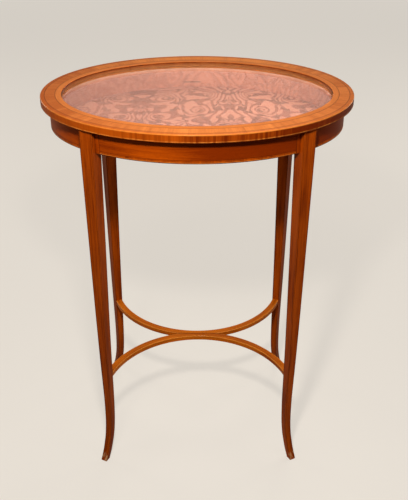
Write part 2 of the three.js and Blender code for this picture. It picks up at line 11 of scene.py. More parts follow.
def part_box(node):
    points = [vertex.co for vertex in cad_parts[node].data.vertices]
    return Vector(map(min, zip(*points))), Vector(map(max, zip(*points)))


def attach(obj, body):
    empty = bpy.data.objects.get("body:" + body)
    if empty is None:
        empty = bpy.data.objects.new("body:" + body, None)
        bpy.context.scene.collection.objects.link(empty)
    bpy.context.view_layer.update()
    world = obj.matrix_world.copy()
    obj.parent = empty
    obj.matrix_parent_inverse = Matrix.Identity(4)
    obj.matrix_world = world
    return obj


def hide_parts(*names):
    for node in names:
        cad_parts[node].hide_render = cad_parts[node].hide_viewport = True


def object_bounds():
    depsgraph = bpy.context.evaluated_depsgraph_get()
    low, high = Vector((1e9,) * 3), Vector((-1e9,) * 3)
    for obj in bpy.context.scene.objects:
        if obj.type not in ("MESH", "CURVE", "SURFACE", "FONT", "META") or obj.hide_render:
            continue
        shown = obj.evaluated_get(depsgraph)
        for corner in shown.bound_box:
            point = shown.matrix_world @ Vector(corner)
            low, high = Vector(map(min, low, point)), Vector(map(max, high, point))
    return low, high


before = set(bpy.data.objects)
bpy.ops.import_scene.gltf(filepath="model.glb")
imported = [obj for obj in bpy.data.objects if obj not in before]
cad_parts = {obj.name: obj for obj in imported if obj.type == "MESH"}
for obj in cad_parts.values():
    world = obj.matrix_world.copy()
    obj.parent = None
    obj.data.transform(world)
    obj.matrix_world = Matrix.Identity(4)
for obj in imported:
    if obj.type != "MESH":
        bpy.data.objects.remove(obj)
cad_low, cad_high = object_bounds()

bl_info = {
    "name": "Oval Display Table",
    "version": (1, 0, 0),
    "blender": (4, 5, 0),
    "location": "View3D > Sidebar > Display Table",
    "description": "Builds the veneers, legs, silk lining, glass and brass of an oval display table",
    "category": "Object",
}

MM = 0.001
FULL_TURN = 2 * math.pi

# Lowest and highest corners of the nodes that the pieces are fitted to
lid_low, lid_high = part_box("lid_frame_right")
rail_low, rail_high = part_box("right_rail")
glass_low, glass_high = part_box("glass_pane")
bead_low, bead_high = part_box("glazing_bead_right")
wall_low, wall_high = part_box("wall_lining")
pad_low, pad_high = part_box("base_pad")


def from_srgb(red, green, blue):
    """A colour written as it shows on screen, 0 to 255, as the linear numbers that materials use"""
    shares = [value / 255 for value in (red, green, blue)]
    return tuple(s / 12.92 if s <= 0.04045 else ((s + 0.055) / 1.055) ** 2.4 for s in shares)


def length_field(name, description, millimetres):
    return bpy.props.FloatProperty(
        name=name, description=description, default=millimetres * MM, unit="LENGTH")


def angle_field(name, description, degrees):
    return bpy.props.FloatProperty(
        name=name, description=description, default=math.radians(degrees), unit="ROTATION", subtype="ANGLE")


def share_field(name, description, default):
    return bpy.props.FloatProperty(
        name=name, description=description, default=default, min=0, max=1, subtype="FACTOR")


def power_field(name, description, watts):
    return bpy.props.FloatProperty(name=name, description=description, default=watts, unit="POWER")


def colour_field(name, description, red, green, blue):
    return bpy.props.FloatVectorProperty(
        name=name, description=description, default=from_srgb(red, green, blue),
        size=3, min=0, max=1, subtype="COLOR")


def group_field(kind, name):
    """A group of settings, described in the words of its class"""
    return bpy.props.PointerProperty(type=kind, name=name, description=kind.__doc__)


class OvalSizes(bpy.types.PropertyGroup):
    """The oval that the lid, the case and the lining follow"""

    half_length: length_field("Half Length", "Half the length of the lid's outline", cad_high.x / MM)
    half_depth: length_field("Half Depth", "Half the depth of the lid's outline", cad_high.y / MM)
    leg_angle: angle_field("Leg Angle", "Where the legs stand round the oval, from its end", 47.2)
    steps: bpy.props.IntProperty(
        name="Steps", description="Flats in each stretch between two legs", default=96, min=12)


class LidSizes(bpy.types.PropertyGroup):
    """The lid's frame, its rebate and its bands of veneer"""

    width: length_field("Frame Width", "Width of the frame seen from above", 38)
    arris: length_field("Arris Radius", "Rounding of the top outer edge", 2.5)
    foot: length_field("Foot Radius", "Rounding of the bottom outer edge", 1.0)
    glass_drop: length_field("Glass Drop", "How far the glass lies under the top", 9)
    rebate: length_field("Rebate Width", "Width of the ledge over the glass", 5.5)
    outer_band: length_field("Outer Band", "Width of the outer crossbanding", 8)
    inner_band: length_field("Inner Band", "Where the inner banding starts, from the outline", 27)
    string: length_field("String Width", "Width of the inlaid lines", 1.2)
    leaf_pitch: length_field("Leaf Pitch", "Usual length of one leaf of veneer round the lid", 46)
    edge_pitch: length_field("Edge Pitch", "Usual length of one leaf of the edge banding", 18.4)
    strip_pitch: length_field("Strip Pitch", "Usual length of one strip in the edge banding", 4.6)
    # Painted light: the next four settings lighten or darken the lid veneer's colour by its place round the
    # oval, standing for highlights and sheen
    right_painted_light: share_field("Right Glow", "How much lighter the figure is at the right end", 0.18)
    rear_painted_sheen: share_field("Rear Glow", "How much lighter the figure is at the back than in front", 0.2)
    edge_painted_light: share_field("Edge Glow", "How much lighter the edge banding is at the left end", 0.75)
    middle_painted_sheen: share_field("Middle Glow", "How much lighter front and back are than the ends", 0.36)


class RailSizes(bpy.types.PropertyGroup):
    """The frieze rails round the case"""

    thickness: length_field("Thickness", "Thickness of a rail", 17)
    board_rebate: length_field("Board Rebate", "How far the bottom board is let into the rails", 2)
    board_edge: length_field("Board Edge", "The rebate's edge, from the lid's outline", 20.7)
    arris: length_field("Arris Radius", "Rounding of the edges", 0.6)
    end_band: length_field("End Band", "Width of the upright banding beside a leg", 12)
    lower_band: length_field("Lower Band", "Height of the banding along the bottom", 6)
    into_leg: length_field("Into Leg", "How far a rail's end runs into the leg", 2.5)
    # Painted shade: how much the frieze is darkened towards the right end
    right_painted_shade: share_field("Right Dark", "How much darker the figure is at the right end", 1.0)


class LegSizes(bpy.types.PropertyGroup):
    """The square tapered legs and their outswept feet"""

    turn: angle_field("Turn", "How far the outer face turns from the front", 28.5)
    inset: length_field("Inset", "How far the leg's middle lies inside the case's face", 2.9)
    top_width: length_field("Top Width", "Width at the case", 25.8)
    ankle_width: length_field("Ankle Width", "Width where the foot starts", 15)
    foot_width: length_field("Foot Width", "Width at the floor", 12.8)
    ankle_height: length_field("Ankle Height", "Height where the foot starts", 150)
    foot_rise: length_field("Foot Rise", "Height over which the foot sweeps out", 90)
    foot_throw: length_field("Foot Throw", "How far the foot sweeps out", 26)
    top_drop: length_field("Top Drop", "How far the leg's top lies under the rails' top", 0.15)
    arris: length_field("Arris Radius", "Rounding of the edges", 0.7)


class StretcherSizes(bpy.types.PropertyGroup):
    """The two hooped stretchers that meet in the middle"""

    height: length_field("Height", "Height of the middle above the floor", 202)
    thickness: length_field("Thickness", "Thickness, upwards", 10)
    width: length_field("Width", "Width of a hoop, level", 13.6)
    half_waist: length_field("Half Waist", "Half the width of the two hoops where they meet", 9.9)
    into_leg: length_field("Into Leg", "How far a hoop's end runs into the leg", 1.5)
    half_gap: length_field("Half Gap", "Half the gap between the hoops where they meet", 0.15)
    arris: length_field("Arris Radius", "Rounding of the edges", 0.8)


class SilkSizes(bpy.types.PropertyGroup):
    """The silk over the base and round the wall of the case"""

    pitch: length_field("Row Pitch", "Distance between the mesh's rows", 1.9)
    swell: length_field("Swell", "How far the wadding lifts the pad's cover at most", 0.5)
    half_repeat: length_field("Half Repeat", "Half the width of one repeat of the damask", 170)
    middle: length_field("Middle", "Where the middle of a repeat lies, from the middle of the pad", 62)
    vein: length_field("Vein Spacing", "Distance between two veins of a leaf", 8.5)
    thread: length_field("Thread Width", "Width of a thread of the weave", 0.45)
    # Painted light: the wall's silk is painted paler down to this far below its top
    fade: length_field("Fade", "How far down the wall's silk has faded", 9)


class WoodColours(bpy.types.PropertyGroup):
    """Colours of the veneers, the solid wood and the inlaid lines"""

    light: colour_field("Satinwood Light", "Light figure of the lid's veneer", 244, 144, 68)
    dark: colour_field("Satinwood Dark", "Dark figure of the lid's veneer", 190, 97, 36)
    edge_light: colour_field("Banding Light", "Light figure of the edge banding", 176, 76, 8)
    edge_dark: colour_field("Banding Dark", "Dark figure of the edge banding", 110, 34, 2)
    rail_light: colour_field("Frieze Light", "Light figure of the frieze", 188, 78, 4)
    rail_dark: colour_field("Frieze Dark", "Dark figure of the frieze", 126, 41, 1)
    leg_light: colour_field("Leg Light", "Light figure of the legs", 174, 72, 4)
    leg_dark: colour_field("Leg Dark", "Dark figure of the legs", 110, 34, 0)
    hoop_light: colour_field("Hoop Light", "Light figure of the stretchers", 228, 121, 20)
    line_dark: colour_field("Dark Line", "Dark inlaid lines", 62, 20, 6)
    # Light inlaid lines; this colour also paints the highlights on the lid's top arris, the hoops' top edges
    # and the pad's rim
    light_line_and_highlight: colour_field("Light Line", "Light inlaid lines", 244, 158, 66)
    plain_light: colour_field("Plain Wood Light", "Light figure of the unpolished wood", 212, 176, 128)
    plain_dark: colour_field("Plain Wood Dark", "Dark figure of the unpolished wood", 176, 132, 84)


class SilkColours(bpy.types.PropertyGroup):
    """Colours of the damask"""

    satin: colour_field("Satin", "The raised satin leaves", 195, 127, 100)
    vein: colour_field("Vein", "The veins between the leaves", 151, 88, 67)
    ground: colour_field("Ground", "The dull ground", 127, 72, 54)
    # Painted light on the top of the wall's silk, just under the glass
    painted_top_light: colour_field("Faded", "The wall's silk just under the glass", 216, 184, 168)


class MetalColours(bpy.types.PropertyGroup):
    """Colours of the brass"""

    bright: colour_field("Bright", "Rubbed brass", 214, 176, 104)
    dull: colour_field("Dull", "Tarnished brass", 150, 108, 52)


class StageSettings(bpy.types.PropertyGroup):
    """The floor, the lights and the camera"""

    floor: colour_field("Floor", "Colour of the floor", 130, 118, 104)
    backdrop: colour_field("Backdrop", "Colour beyond the floor", 240, 233, 223)
    paleness: share_field("Paleness", "How much of the floor's seen colour is the backdrop's own", 0.66)
    near: length_field("Near", "Where the floor starts to grow as pale as the backdrop", 2000)
    far: length_field("Far", "Where the floor is as pale as the backdrop", 9000)
    mirrored: share_field("Mirrored", "How much of the backdrop shows in glass and polish", 0.12)
    sky: share_field("Sky", "Strength of the even light", 0.09)
    key: power_field("Key", "Power of the main lamp", 9.6)
    fill: power_field("Fill", "Power of the second lamp in front", 9)
    side: power_field("Side", "Power of the lamps at the sides", 3)
    level: power_field("Level", "Power of the lamps level with the case", 24)
    low: power_field("Low", "Power of the lamps on the legs", 19)
    back: power_field("Back", "Power of the lamp behind", 18)
    low_back: power_field("Low Back", "Power of the lower lamps behind", 12)
    left_share: share_field(
        "Left Share", "Power of the level and leg lamps at the left, as a share of those at the right", 0.5)
    lens: bpy.props.FloatProperty(name="Lens", description="Focal length", default=59.8, unit="CAMERA")
    viewpoint: bpy.props.FloatVectorProperty(
        name="Viewpoint", description="Where the camera stands",
        default=(-0.007769, -1.452837, 1.268973), size=3, unit="LENGTH", subtype="TRANSLATION")
    down: angle_field("Look Down", "How far the camera looks down", 30.446)
    aside: angle_field("Look Aside", "How far the camera looks to the right", 0.816)
    roll: angle_field("Roll", "How far the camera is rolled", 0.154)


class DisplayTable(bpy.types.PropertyGroup):
    """Everything about the table that can be changed"""

    oval: group_field(OvalSizes, "Oval")
    lid: group_field(LidSizes, "Lid")
    rails: group_field(RailSizes, "Rails")
    legs: group_field(LegSizes, "Legs")
    stretchers: group_field(StretcherSizes, "Stretchers")
    silk: group_field(SilkSizes, "Silk")
    wood: group_field(WoodColours, "Wood")
    damask: group_field(SilkColours, "Damask")
    brass: group_field(MetalColours, "Brass")
    stage: group_field(StageSettings, "Stage")


def table_settings():
    return bpy.context.scene.display_table


# Node trees

class NodeMaker:
    """Adds nodes to a tree and joins them"""

    def __init__(self, tree):
        self.tree = tree

    def feed(self, socket, value):
        if isinstance(value, bpy.types.NodeSocket):
            self.tree.links.new(value, socket)
        elif socket.type == "RGBA" and len(value) == 3:
            socket.default_value = (*value, 1)
        else:
            socket.default_value = value

    def add(self, kind, inputs=None, **choices):
        node = self.tree.nodes.new(kind)
        for name, value in choices.items():
            setattr(node, name, value)
        for key, value in (inputs or {}).items():
            self.feed(node.inputs[key], value)
        return node

    def math(self, operation, *values, clamp=False):
        inputs = dict(enumerate(values))
        return self.add("ShaderNodeMath", inputs, operation=operation, use_clamp=clamp).outputs[0]

    def plus(self, first, second, clamp=False):
        return self.math("ADD", first, second, clamp=clamp)

    def minus(self, first, second, clamp=False):
        return self.math("SUBTRACT", first, second, clamp=clamp)

    def times(self, first, second):
        return self.math("MULTIPLY", first, second)

    def times_plus(self, first, second, third, clamp=False):
        return self.math("MULTIPLY_ADD", first, second, third, clamp=clamp)

    def rest(self, share):
        """What is left of 1"""
        return self.math("SUBTRACT", 1.0, share)

    def vector_math(self, operation, first, second):
        return self.add("ShaderNodeVectorMath", {0: first, 1: second}, operation=operation).outputs[0]

    def length(self, vector):
        return self.add("ShaderNodeVectorMath", {0: vector}, operation="LENGTH").outputs["Value"]

    def split(self, vector):
        return self.add("ShaderNodeSeparateXYZ", {0: vector}).outputs

    def combine(self, x=0.0, y=0.0, z=0.0):
        return self.add("ShaderNodeCombineXYZ", {0: x, 1: y, 2: z}).outputs[0]

    def mix(self, share, first, second):
        return self.add("ShaderNodeMix", {0: share, 6: first, 7: second}, data_type="RGBA").outputs[2]

    def cover(self, colour, other, share, strength=None):
        """A colour with another over it where share is 1, as thickly as strength says"""
        if strength is not None:
            share = self.times(share, strength)
        return self.mix(share, colour, other)

    def between(self, share, low, high):
        """A number that goes from low to high as share goes from 0 to 1"""
        inputs = {"Value": share, "To Min": low, "To Max": high}
        return self.add("ShaderNodeMapRange", inputs).outputs["Result"]

    def step(self, value, edge, soft):
        """Goes from 0 to 1 as value passes edge, over a distance of soft"""
        inputs = {"Value": value, "From Min": edge - soft / 2, "From Max": edge + soft / 2}
        return self.add("ShaderNodeMapRange", inputs, interpolation_type="SMOOTHSTEP").outputs["Result"]

    def band(self, value, low, high, soft):
        """1 where value lies between low and high, else 0"""
        return self.times(self.step(value, low, soft), self.rest(self.step(value, high, soft)))

    def noise(self, vector, scale, detail=2.0, roughness=0.55):
        inputs = {"Vector": vector, "Scale": scale, "Detail": detail, "Roughness": roughness}
        return self.add("ShaderNodeTexNoise", inputs).outputs["Fac"]

    def attribute(self, name):
        return self.add("ShaderNodeAttribute", attribute_name=name)

    def stored_place(self):
        """The three numbers of the attribute called place. Round the oval they are how far along a point
        lies, how far in from the lid's outline, and its height."""
        return self.split(self.attribute("place").outputs["Vector"])

    def map_place(self, name):
        """The two numbers that the map called name holds"""
        return self.split(self.add("ShaderNodeUVMap", uv_map=name).outputs["UV"])[:2]

    def object_place(self):
        return self.add("ShaderNodeTexCoord").outputs["Object"]

    def bump(self, height, strength, distance=0.1 * MM):
        inputs = {"Height": height, "Strength": strength, "Distance": distance}
        return self.add("ShaderNodeBump", inputs).outputs["Normal"]


def new_material(name):
    """A material with a bare Principled shader, and what is needed to add to it"""
    material = bpy.data.materials.new(name)
    material.use_nodes = True
    make = NodeMaker(material.node_tree)
    shader = material.node_tree.nodes["Principled BSDF"]
    return material, make, shader


def set_finish(make, shader, **values):
    """Sets the shader's inputs, named with _ for each space"""
    for name, value in values.items():
        make.feed(shader.inputs[name.replace("_", " ")], value)


# Wood finishes

# How fine the figure is across the grain, along it and into the wood, per metre
CLOUD_FINENESS = (60, 9, 30)
STREAK_FINENESS = (420, 14, 90)
FIBRE_FINENESS = (1900, 60, 400)
PORE_FINENESS = (2600, 150, 700)
# What clouds, streaks and fibres each add to the figure
CLOUD_SHARE, STREAK_SHARE, FIBRE_SHARE = 0.4, 0.45, 0.15
FIGURE_CONTRAST = 2.6
# Added to a place, once for each leaf of veneer, so that its figure differs from the next leaf's
LEAF_SHIFT = 2.0

# How softly one veneer gives way to the next, and an inlaid line to the veneer beside it
JOINT_SOFT = 0.3 * MM
LINE_SOFT = 0.4 * MM
# How far an inlaid line strays from its place
LINE_STRAY = 0.6 * MM

# Up from the lid's bottom: its light line
LID_FOOT_LINE = (1.2 * MM, 2.7 * MM)
# Down from the lid's top: its pale top arris, which is a painted highlight, the end of the edge banding, and
# the line over the glass
LID_RIM_HIGHLIGHT = (2.2 * MM, 0.35 * MM)
LID_EDGE_END = 1.2 * MM
LID_WALL_LINE = (1.9 * MM, 3.2 * MM)
# Up from the frieze's bottom: its light line and the end of its dark foot
RAIL_FOOT_LINE = (1.6 * MM, 2.6 * MM)
RAIL_FOOT_TOP = 1.2 * MM
# The width of the dark line over the frieze's foot banding, and of the dark band beside a leg, which is
# partly an inlaid line and partly painted shade from the leg
RAIL_LINE = 0.9 * MM
RAIL_LEG_LINE_AND_SHADE = 4.5 * MM
# The dark line along a leg's edge, in from the edge, and the height of the scuffs on its foot
LEG_EDGE_LINE = (0.9 * MM, 1.9 * MM)
LEG_SCUFF_HEIGHT = 14 * MM
# The two hoops' distances across lie this far to either side of nought, so that their figures differ
HOOP_SHIFT = 0.2


def polish(make, shader, colour, roughness, coat=0.02):
    """Gives a wood its colour and its amber shellac polish"""
    set_finish(
        make, shader, Base_Color=colour, Roughness=roughness, Specular_IOR_Level=0.2,
        Specular_Tint=(1.0, 0.42, 0.08), Coat_Weight=coat, Coat_Roughness=0.12)


def wood_figure(make, across, along, depth, contrast=1.0):
    """The wood's figure as a share from dark to light, and its pores as a share of shadow.
    Across and along are distances over and with the grain, in metres."""
    spot = make.combine(across, along, depth)

    def grain(fineness, detail, roughness=0.5):
        return make.noise(make.vector_math("MULTIPLY", spot, fineness), 1.0, detail, roughness)

    mixed = make.times(grain(CLOUD_FINENESS, 2), CLOUD_SHARE)
    mixed = make.times_plus(grain(STREAK_FINENESS, 3, 0.6), STREAK_SHARE, mixed)
    mixed = make.times_plus(grain(FIBRE_FINENESS, 2), FIBRE_SHARE, mixed)
    figure = make.times_plus(make.minus(mixed, 0.5), FIGURE_CONTRAST * contrast, 0.5, clamp=True)
    pores = make.step(grain(PORE_FINENESS, 1), 0.66, soft=0.1)
    return figure, pores


def veneer_leaves(make, along, pitch, seed):
    """A share from 0 to 1 that is the same all over one leaf of veneer"""
    drift = make.noise(make.combine(along, seed), 9.0, 1, 0.5)
    place = make.times_plus(along, 1 / pitch, make.times(drift, 1.6))
    number = make.plus(make.math("FLOOR", place), seed)
    return make.add("ShaderNodeTexWhiteNoise", {"W": number}, noise_dimensions="1D").outputs["Value"]


def lid_wall_colour(make, along, height, figure):
    """The lid's inner wall over the glass: paler towards the glass, which is painted light standing for
    highlights on its worn polish, with a broken dark line
    """
    table = table_settings()
    wood = table.wood
    down = make.minus(lid_high.z, height)
    colour = make.mix(figure, wood.leg_dark, wood.rail_dark)
    # Painted light: the wall grows paler towards the glass
    colour = make.cover(colour, wood.plain_dark, down, 0.45 / table.lid.glass_drop)
    broken = make.step(make.noise(make.combine(along, 0.4), 55.0), 0.5, soft=0.16)
    line = make.band(down, *LID_WALL_LINE, soft=0.6 * MM)
    return make.cover(colour, wood.line_dark, line, make.between(broken, 0.35, 0.9))


def lid_veneer():
    """Satinwood crossbanding between banded edges, with inlaid lines, and upright banding round the edge"""
    table = table_settings()
    wood, lid = table.wood, table.lid
    material, make, shader = new_material("lid_veneer")
    along, offset, height = make.stored_place()
    turn = make.times(along, FULL_TURN / oval_round())
    to_right = make.math("COSINE", turn)
    to_rear = make.math("SINE", turn)
    to_ends = make.math("COSINE", make.times(turn, 2.0))

    leaf = veneer_leaves(make, along, lid.leaf_pitch, 3.0)
    figure, pores = wood_figure(make, along, make.times_plus(leaf, LEAF_SHIFT, offset), leaf)
    figure = make.times_plus(make.minus(leaf, 0.5), 0.3, figure, clamp=True)
    # Painted light: the figure is lighter at the right end, and painted sheen makes it lighter at the back,
    # and lighter at front and back than at the ends
    figure = make.times_plus(to_right, lid.right_painted_light, figure)
    figure = make.times_plus(to_rear, lid.rear_painted_sheen, figure)
    figure = make.times_plus(to_ends, -lid.middle_painted_sheen, figure, clamp=True)
    field = make.mix(figure, wood.dark, wood.light)

    edge_leaf = veneer_leaves(make, along, lid.edge_pitch, 11.0)
    strip = veneer_leaves(make, along, lid.strip_pitch, 5.0)
    edge_place = make.times_plus(edge_leaf, LEAF_SHIFT, height)
    edge_figure, _ = wood_figure(make, along, edge_place, edge_leaf, contrast=0.8)
    # Painted light: the edge banding is lighter towards the left end and darker towards the right
    edge_figure = make.times_plus(to_right, -lid.edge_painted_light, edge_figure)
    blocks = make.times_plus(edge_leaf, 0.5, make.times(strip, 0.5))
    edge_figure = make.plus(make.minus(blocks, 0.5), edge_figure, clamp=True)
    edge = make.mix(edge_figure, wood.edge_dark, wood.edge_light)
    outer = make.mix(0.45, make.mix(edge_figure, wood.dark, wood.edge_light), field)
    long_figure, long_pores = wood_figure(make, offset, along, 0.3, contrast=0.8)
    inner = make.mix(long_figure, wood.dark, wood.light)

    stray = make.minus(make.noise(make.combine(along), 60.0), 0.5)
    inwards = make.plus(offset, make.times(stray, LINE_STRAY))
    top = make.mix(make.step(inwards, lid.outer_band, JOINT_SOFT), outer, field)
    top = make.mix(make.step(inwards, lid.inner_band, JOINT_SOFT), top, inner)
    for start in (lid.outer_band, lid.inner_band):
        line = make.band(inwards, start - lid.string / 2, start + lid.string / 2, LINE_SOFT)
        top = make.cover(top, wood.line_dark, line, 0.65)

    on_top = make.step(height, lid_high.z - LID_EDGE_END, soft=0.6 * MM)
    on_wall = make.step(offset, lid.width - 0.5 * MM, LINE_SOFT)
    off_wall = make.rest(on_wall)
    under = make.step(offset, 3 * MM, soft=1 * MM)
    colour = make.mix(on_top, edge, top)
    foot = make.band(height, lid_low.z + LID_FOOT_LINE[0], lid_low.z + LID_FOOT_LINE[1], soft=0.5 * MM)
    foot = make.times(foot, make.rest(under))
    colour = make.cover(colour, wood.light_line_and_highlight, foot, make.between(strip, 0.1, 0.5))
    # Painted highlight: a pale band along the top outer arris
    rim = make.band(height, lid_high.z - LID_RIM_HIGHLIGHT[0], lid_high.z - LID_RIM_HIGHLIGHT[1], soft=0.9 * MM)
    colour = make.cover(colour, wood.light_line_and_highlight, make.times(rim, off_wall), 0.3)
    plain = make.mix(long_figure, wood.plain_dark, wood.rail_dark)
    colour = make.cover(colour, plain, make.times(under, make.rest(on_top)), off_wall)
    below_top = make.rest(make.step(height, lid_high.z - 0.5 * MM, LINE_SOFT))
    colour = make.cover(colour, lid_wall_colour(make, along, height, long_figure), on_wall, below_top)
    all_pores = make.math("MAXIMUM", pores, long_pores)
    colour = make.cover(colour, wood.edge_dark, all_pores, 0.35)
    polish(make, shader, colour, 0.34, coat=0.06)
    relief = make.minus(make.times(figure, 0.3), all_pores)
    set_finish(make, shader, Normal=make.bump(relief, 0.25))
    return material


def frieze_veneer():
    """Satinwood along the rail, with upright banding at its ends and a banded foot"""
    table = table_settings()
    wood, rails = table.wood, table.rails
    material, make, shader = new_material("frieze_veneer")
    along, offset, height = make.stored_place()
    from_end = make.attribute("from_end").outputs["Fac"]

    figure, pores = wood_figure(make, height, along, offset)
    slow = make.noise(make.combine(along, 0.7), 5.0, 0)
    to_right = make.math("COSINE", make.times(along, FULL_TURN / oval_round()))
    # Painted shade: the frieze's figure is darkened towards the right end of the oval
    figure = make.times_plus(make.math("MAXIMUM", to_right, 0.0), -rails.right_painted_shade, figure)
    figure = make.times_plus(make.minus(slow, 0.5), 1.6, figure, clamp=True)
    main = make.mix(figure, wood.rail_dark, wood.rail_light)
    cross_figure, cross_pores = wood_figure(make, along, height, 0.7, contrast=1.3)
    cross = make.mix(cross_figure, wood.edge_dark, wood.rail_light)

    bottom = rail_low.z
    low = bottom + rails.lower_band
    colour = make.cover(main, cross, make.rest(make.step(height, low, JOINT_SOFT)))
    colour = make.cover(colour, wood.line_dark, make.band(height, low, low + RAIL_LINE, LINE_SOFT), 0.6)
    bright = make.band(height, bottom + RAIL_FOOT_LINE[0], bottom + RAIL_FOOT_LINE[1], soft=0.6 * MM)
    colour = make.cover(colour, wood.light_line_and_highlight, bright, 0.4)
    foot = make.band(height, bottom - MM, bottom + RAIL_FOOT_TOP, LINE_SOFT)
    colour = make.cover(colour, wood.line_dark, foot)

    colour = make.cover(colour, cross, make.rest(make.step(from_end, rails.end_band, JOINT_SOFT)))
    half_line = table.lid.string / 2
    line = make.band(from_end, rails.end_band - half_line, rails.end_band + half_line, LINE_SOFT)
    # Beside a leg the rail gets a dark band: partly its inlaid line, partly painted shade cast by the proud
    # leg
    beside_leg_line_and_shade = make.rest(make.step(from_end, RAIL_LEG_LINE_AND_SHADE, soft=0.6 * MM))
    colour = make.cover(colour, wood.line_dark, make.math("MAXIMUM", line, beside_leg_line_and_shade), 0.75)
    inside = make.step(offset, table.oval.half_length - rail_high.x + 2 * MM, soft=0.5 * MM)
    colour = make.cover(colour, make.mix(figure, wood.plain_dark, wood.plain_light), inside)
    colour = make.cover(colour, wood.line_dark, make.math("MAXIMUM", pores, cross_pores), 0.35)
    polish(make, shader, colour, 0.33)
    set_finish(make, shader, Normal=make.bump(pores, -0.25))
    return material


def leg_wood():
    """Polished legs: the grain runs up them, with dark lines along the edges. The map called grain holds
    distances across and up each face, and the one called lines the distance from the edge and the face."""
    wood = table_settings().wood
    material, make, shader = new_material("leg_wood")
    across, up = make.map_place("grain")
    from_edge, face = make.map_place("lines")
    figure, pores = wood_figure(make, across, up, face, contrast=1.6)
    colour = make.mix(figure, wood.leg_dark, wood.leg_light)
    glow = make.noise(make.combine(make.times(across, 160.0), make.times(up, 6.0), face), 1.0, 1)
    colour = make.cover(colour, wood.edge_light, make.step(glow, 0.52, soft=0.24), 0.5)
    colour = make.cover(colour, wood.line_dark, make.band(from_edge, *LEG_EDGE_LINE, LINE_SOFT), 0.75)
    worn = make.rest(make.step(from_edge, 0.5 * MM, soft=0.5 * MM))
    colour = make.cover(colour, wood.edge_light, worn, 0.35)
    colour = make.cover(colour, wood.line_dark, pores, 0.4)
    scuff = make.noise(make.combine(make.times(across, 220.0), make.times(up, 90.0), face), 1.0, 3)
    low = make.rest(make.step(up, LEG_SCUFF_HEIGHT, soft=12 * MM))
    scuffed = make.times(low, make.step(scuff, 0.52, soft=0.15))
    colour = make.cover(colour, wood.plain_light, scuffed, 0.6)
    polish(make, shader, colour, 0.36)
    set_finish(make, shader, Normal=make.bump(pores, -0.25))
    return material


def stretcher_wood():
    """Polished wood whose grain follows the hoop. The attribute called place holds distances along,
    across and up."""
    table = table_settings()
    wood, hoop = table.wood, table.stretchers
    material, make, shader = new_material("stretcher_wood")
    along, across, up = make.stored_place()
    figure, pores = wood_figure(make, make.plus(across, up), along, up)
    colour = make.mix(figure, wood.rail_dark, wood.hoop_light)
    from_middle = make.math("ABSOLUTE", make.minus(make.math("ABSOLUTE", across), HOOP_SHIFT))
    # Painted highlight: a pale line along the hoop's top outer edges
    at_side = make.step(from_middle, hoop.width / 2 - 1.3 * MM, soft=1.2 * MM)
    at_top = make.step(up, hoop.height + hoop.thickness / 2 - 1.4 * MM, soft=1.2 * MM)
    colour = make.cover(colour, wood.light_line_and_highlight, make.times(at_side, at_top), 0.45)
    # Painted shade: dark where the two hoops meet in the middle, for the shade in the join
    apart = make.step(make.math("ABSOLUTE", make.split(make.object_place())[1]), 0.9 * MM, soft=0.9 * MM)
    colour = make.cover(colour, wood.line_dark, make.minus(0.85, apart, clamp=True))
    colour = make.cover(colour, wood.line_dark, pores, 0.4)
    polish(make, shader, colour, 0.34)
    set_finish(make, shader, Normal=make.bump(pores, -0.25))
    return material


def bead_wood():
    """The worn polished beads that hold the glass"""
    wood = table_settings().wood
    material, make, shader = new_material("bead_wood")
    along, offset, height = make.stored_place()
    figure, pores = wood_figure(make, make.plus(offset, height), along, 0.9)
    colour = make.mix(0.4, make.mix(figure, wood.leg_dark, wood.leg_light), wood.plain_dark)
    polish(make, shader, make.cover(colour, wood.line_dark, pores, 0.4), 0.4)
    return material


def plain_wood():
    """Unpolished wood with its grain along X"""
    wood = table_settings().wood
    material, make, shader = new_material("plain_wood")
    spot = make.object_place()
    x, y, z = make.split(spot)
    figure, pores = wood_figure(make, y, x, z)
    colour = make.mix(figure, wood.plain_dark, wood.plain_light)
    stain = make.step(make.noise(spot, 14.0, 3), 0.6, soft=0.3)
    colour = make.cover(colour, wood.leg_dark, stain, 0.3)
    colour = make.cover(colour, wood.leg_dark, pores, 0.5)
    set_finish(
        make, shader, Base_Color=colour, Roughness=0.7, Normal=make.bump(figure, 0.3, distance=0.2 * MM))
    return material


# Silk, brass and glass finishes

# A dark mark painted on the lining of the rear wall: where it starts and ends along X, its height and half
# its width
DARK_MARK_START = -26 * MM
DARK_MARK_END = 8 * MM
DARK_MARK_HEIGHT = wall_high.z - 29 * MM
DARK_MARK_HALF_WIDTH = 1.0 * MM

# Where the damask's scrolls curl and its leaves fan out, in one half of a repeat. A scroll is written as
# place across, place up, turns and radius, and a fan as place across, place up and leaves.
# Places and radii are shares of the half repeat.
SCROLL_SHARES = (
    (0.29, -0.39, 1, 0.20), (0.74, -0.61, -1, 0.20), (0.36, 0.22, -1, 0.21), (0.79, 0.02, 1, 0.18),
    (0.21, 0.72, 1, 0.18), (0.72, 0.61, -1, 0.20), (0.56, -0.20, -1, 0.08), (0.55, 0.88, 1, 0.09),
    (0.09, -0.11, 1, 0.07), (0.18, -0.78, -1, 0.12),
)
FAN_SHARES = (
    (0, -0.58, 8), (1, 0.28, 8), (0, 0.44, 7), (1, -0.36, 6), (0.52, -0.84, 6), (0.56, 0.40, 5),
)
# How the design is bent out of true: how fine each bend is, per metre, and how far it reaches
DAMASK_BENDS = ((30.0, 16 * MM), (90.0, 5 * MM))
RUFFLE_REACH = 4 * MM


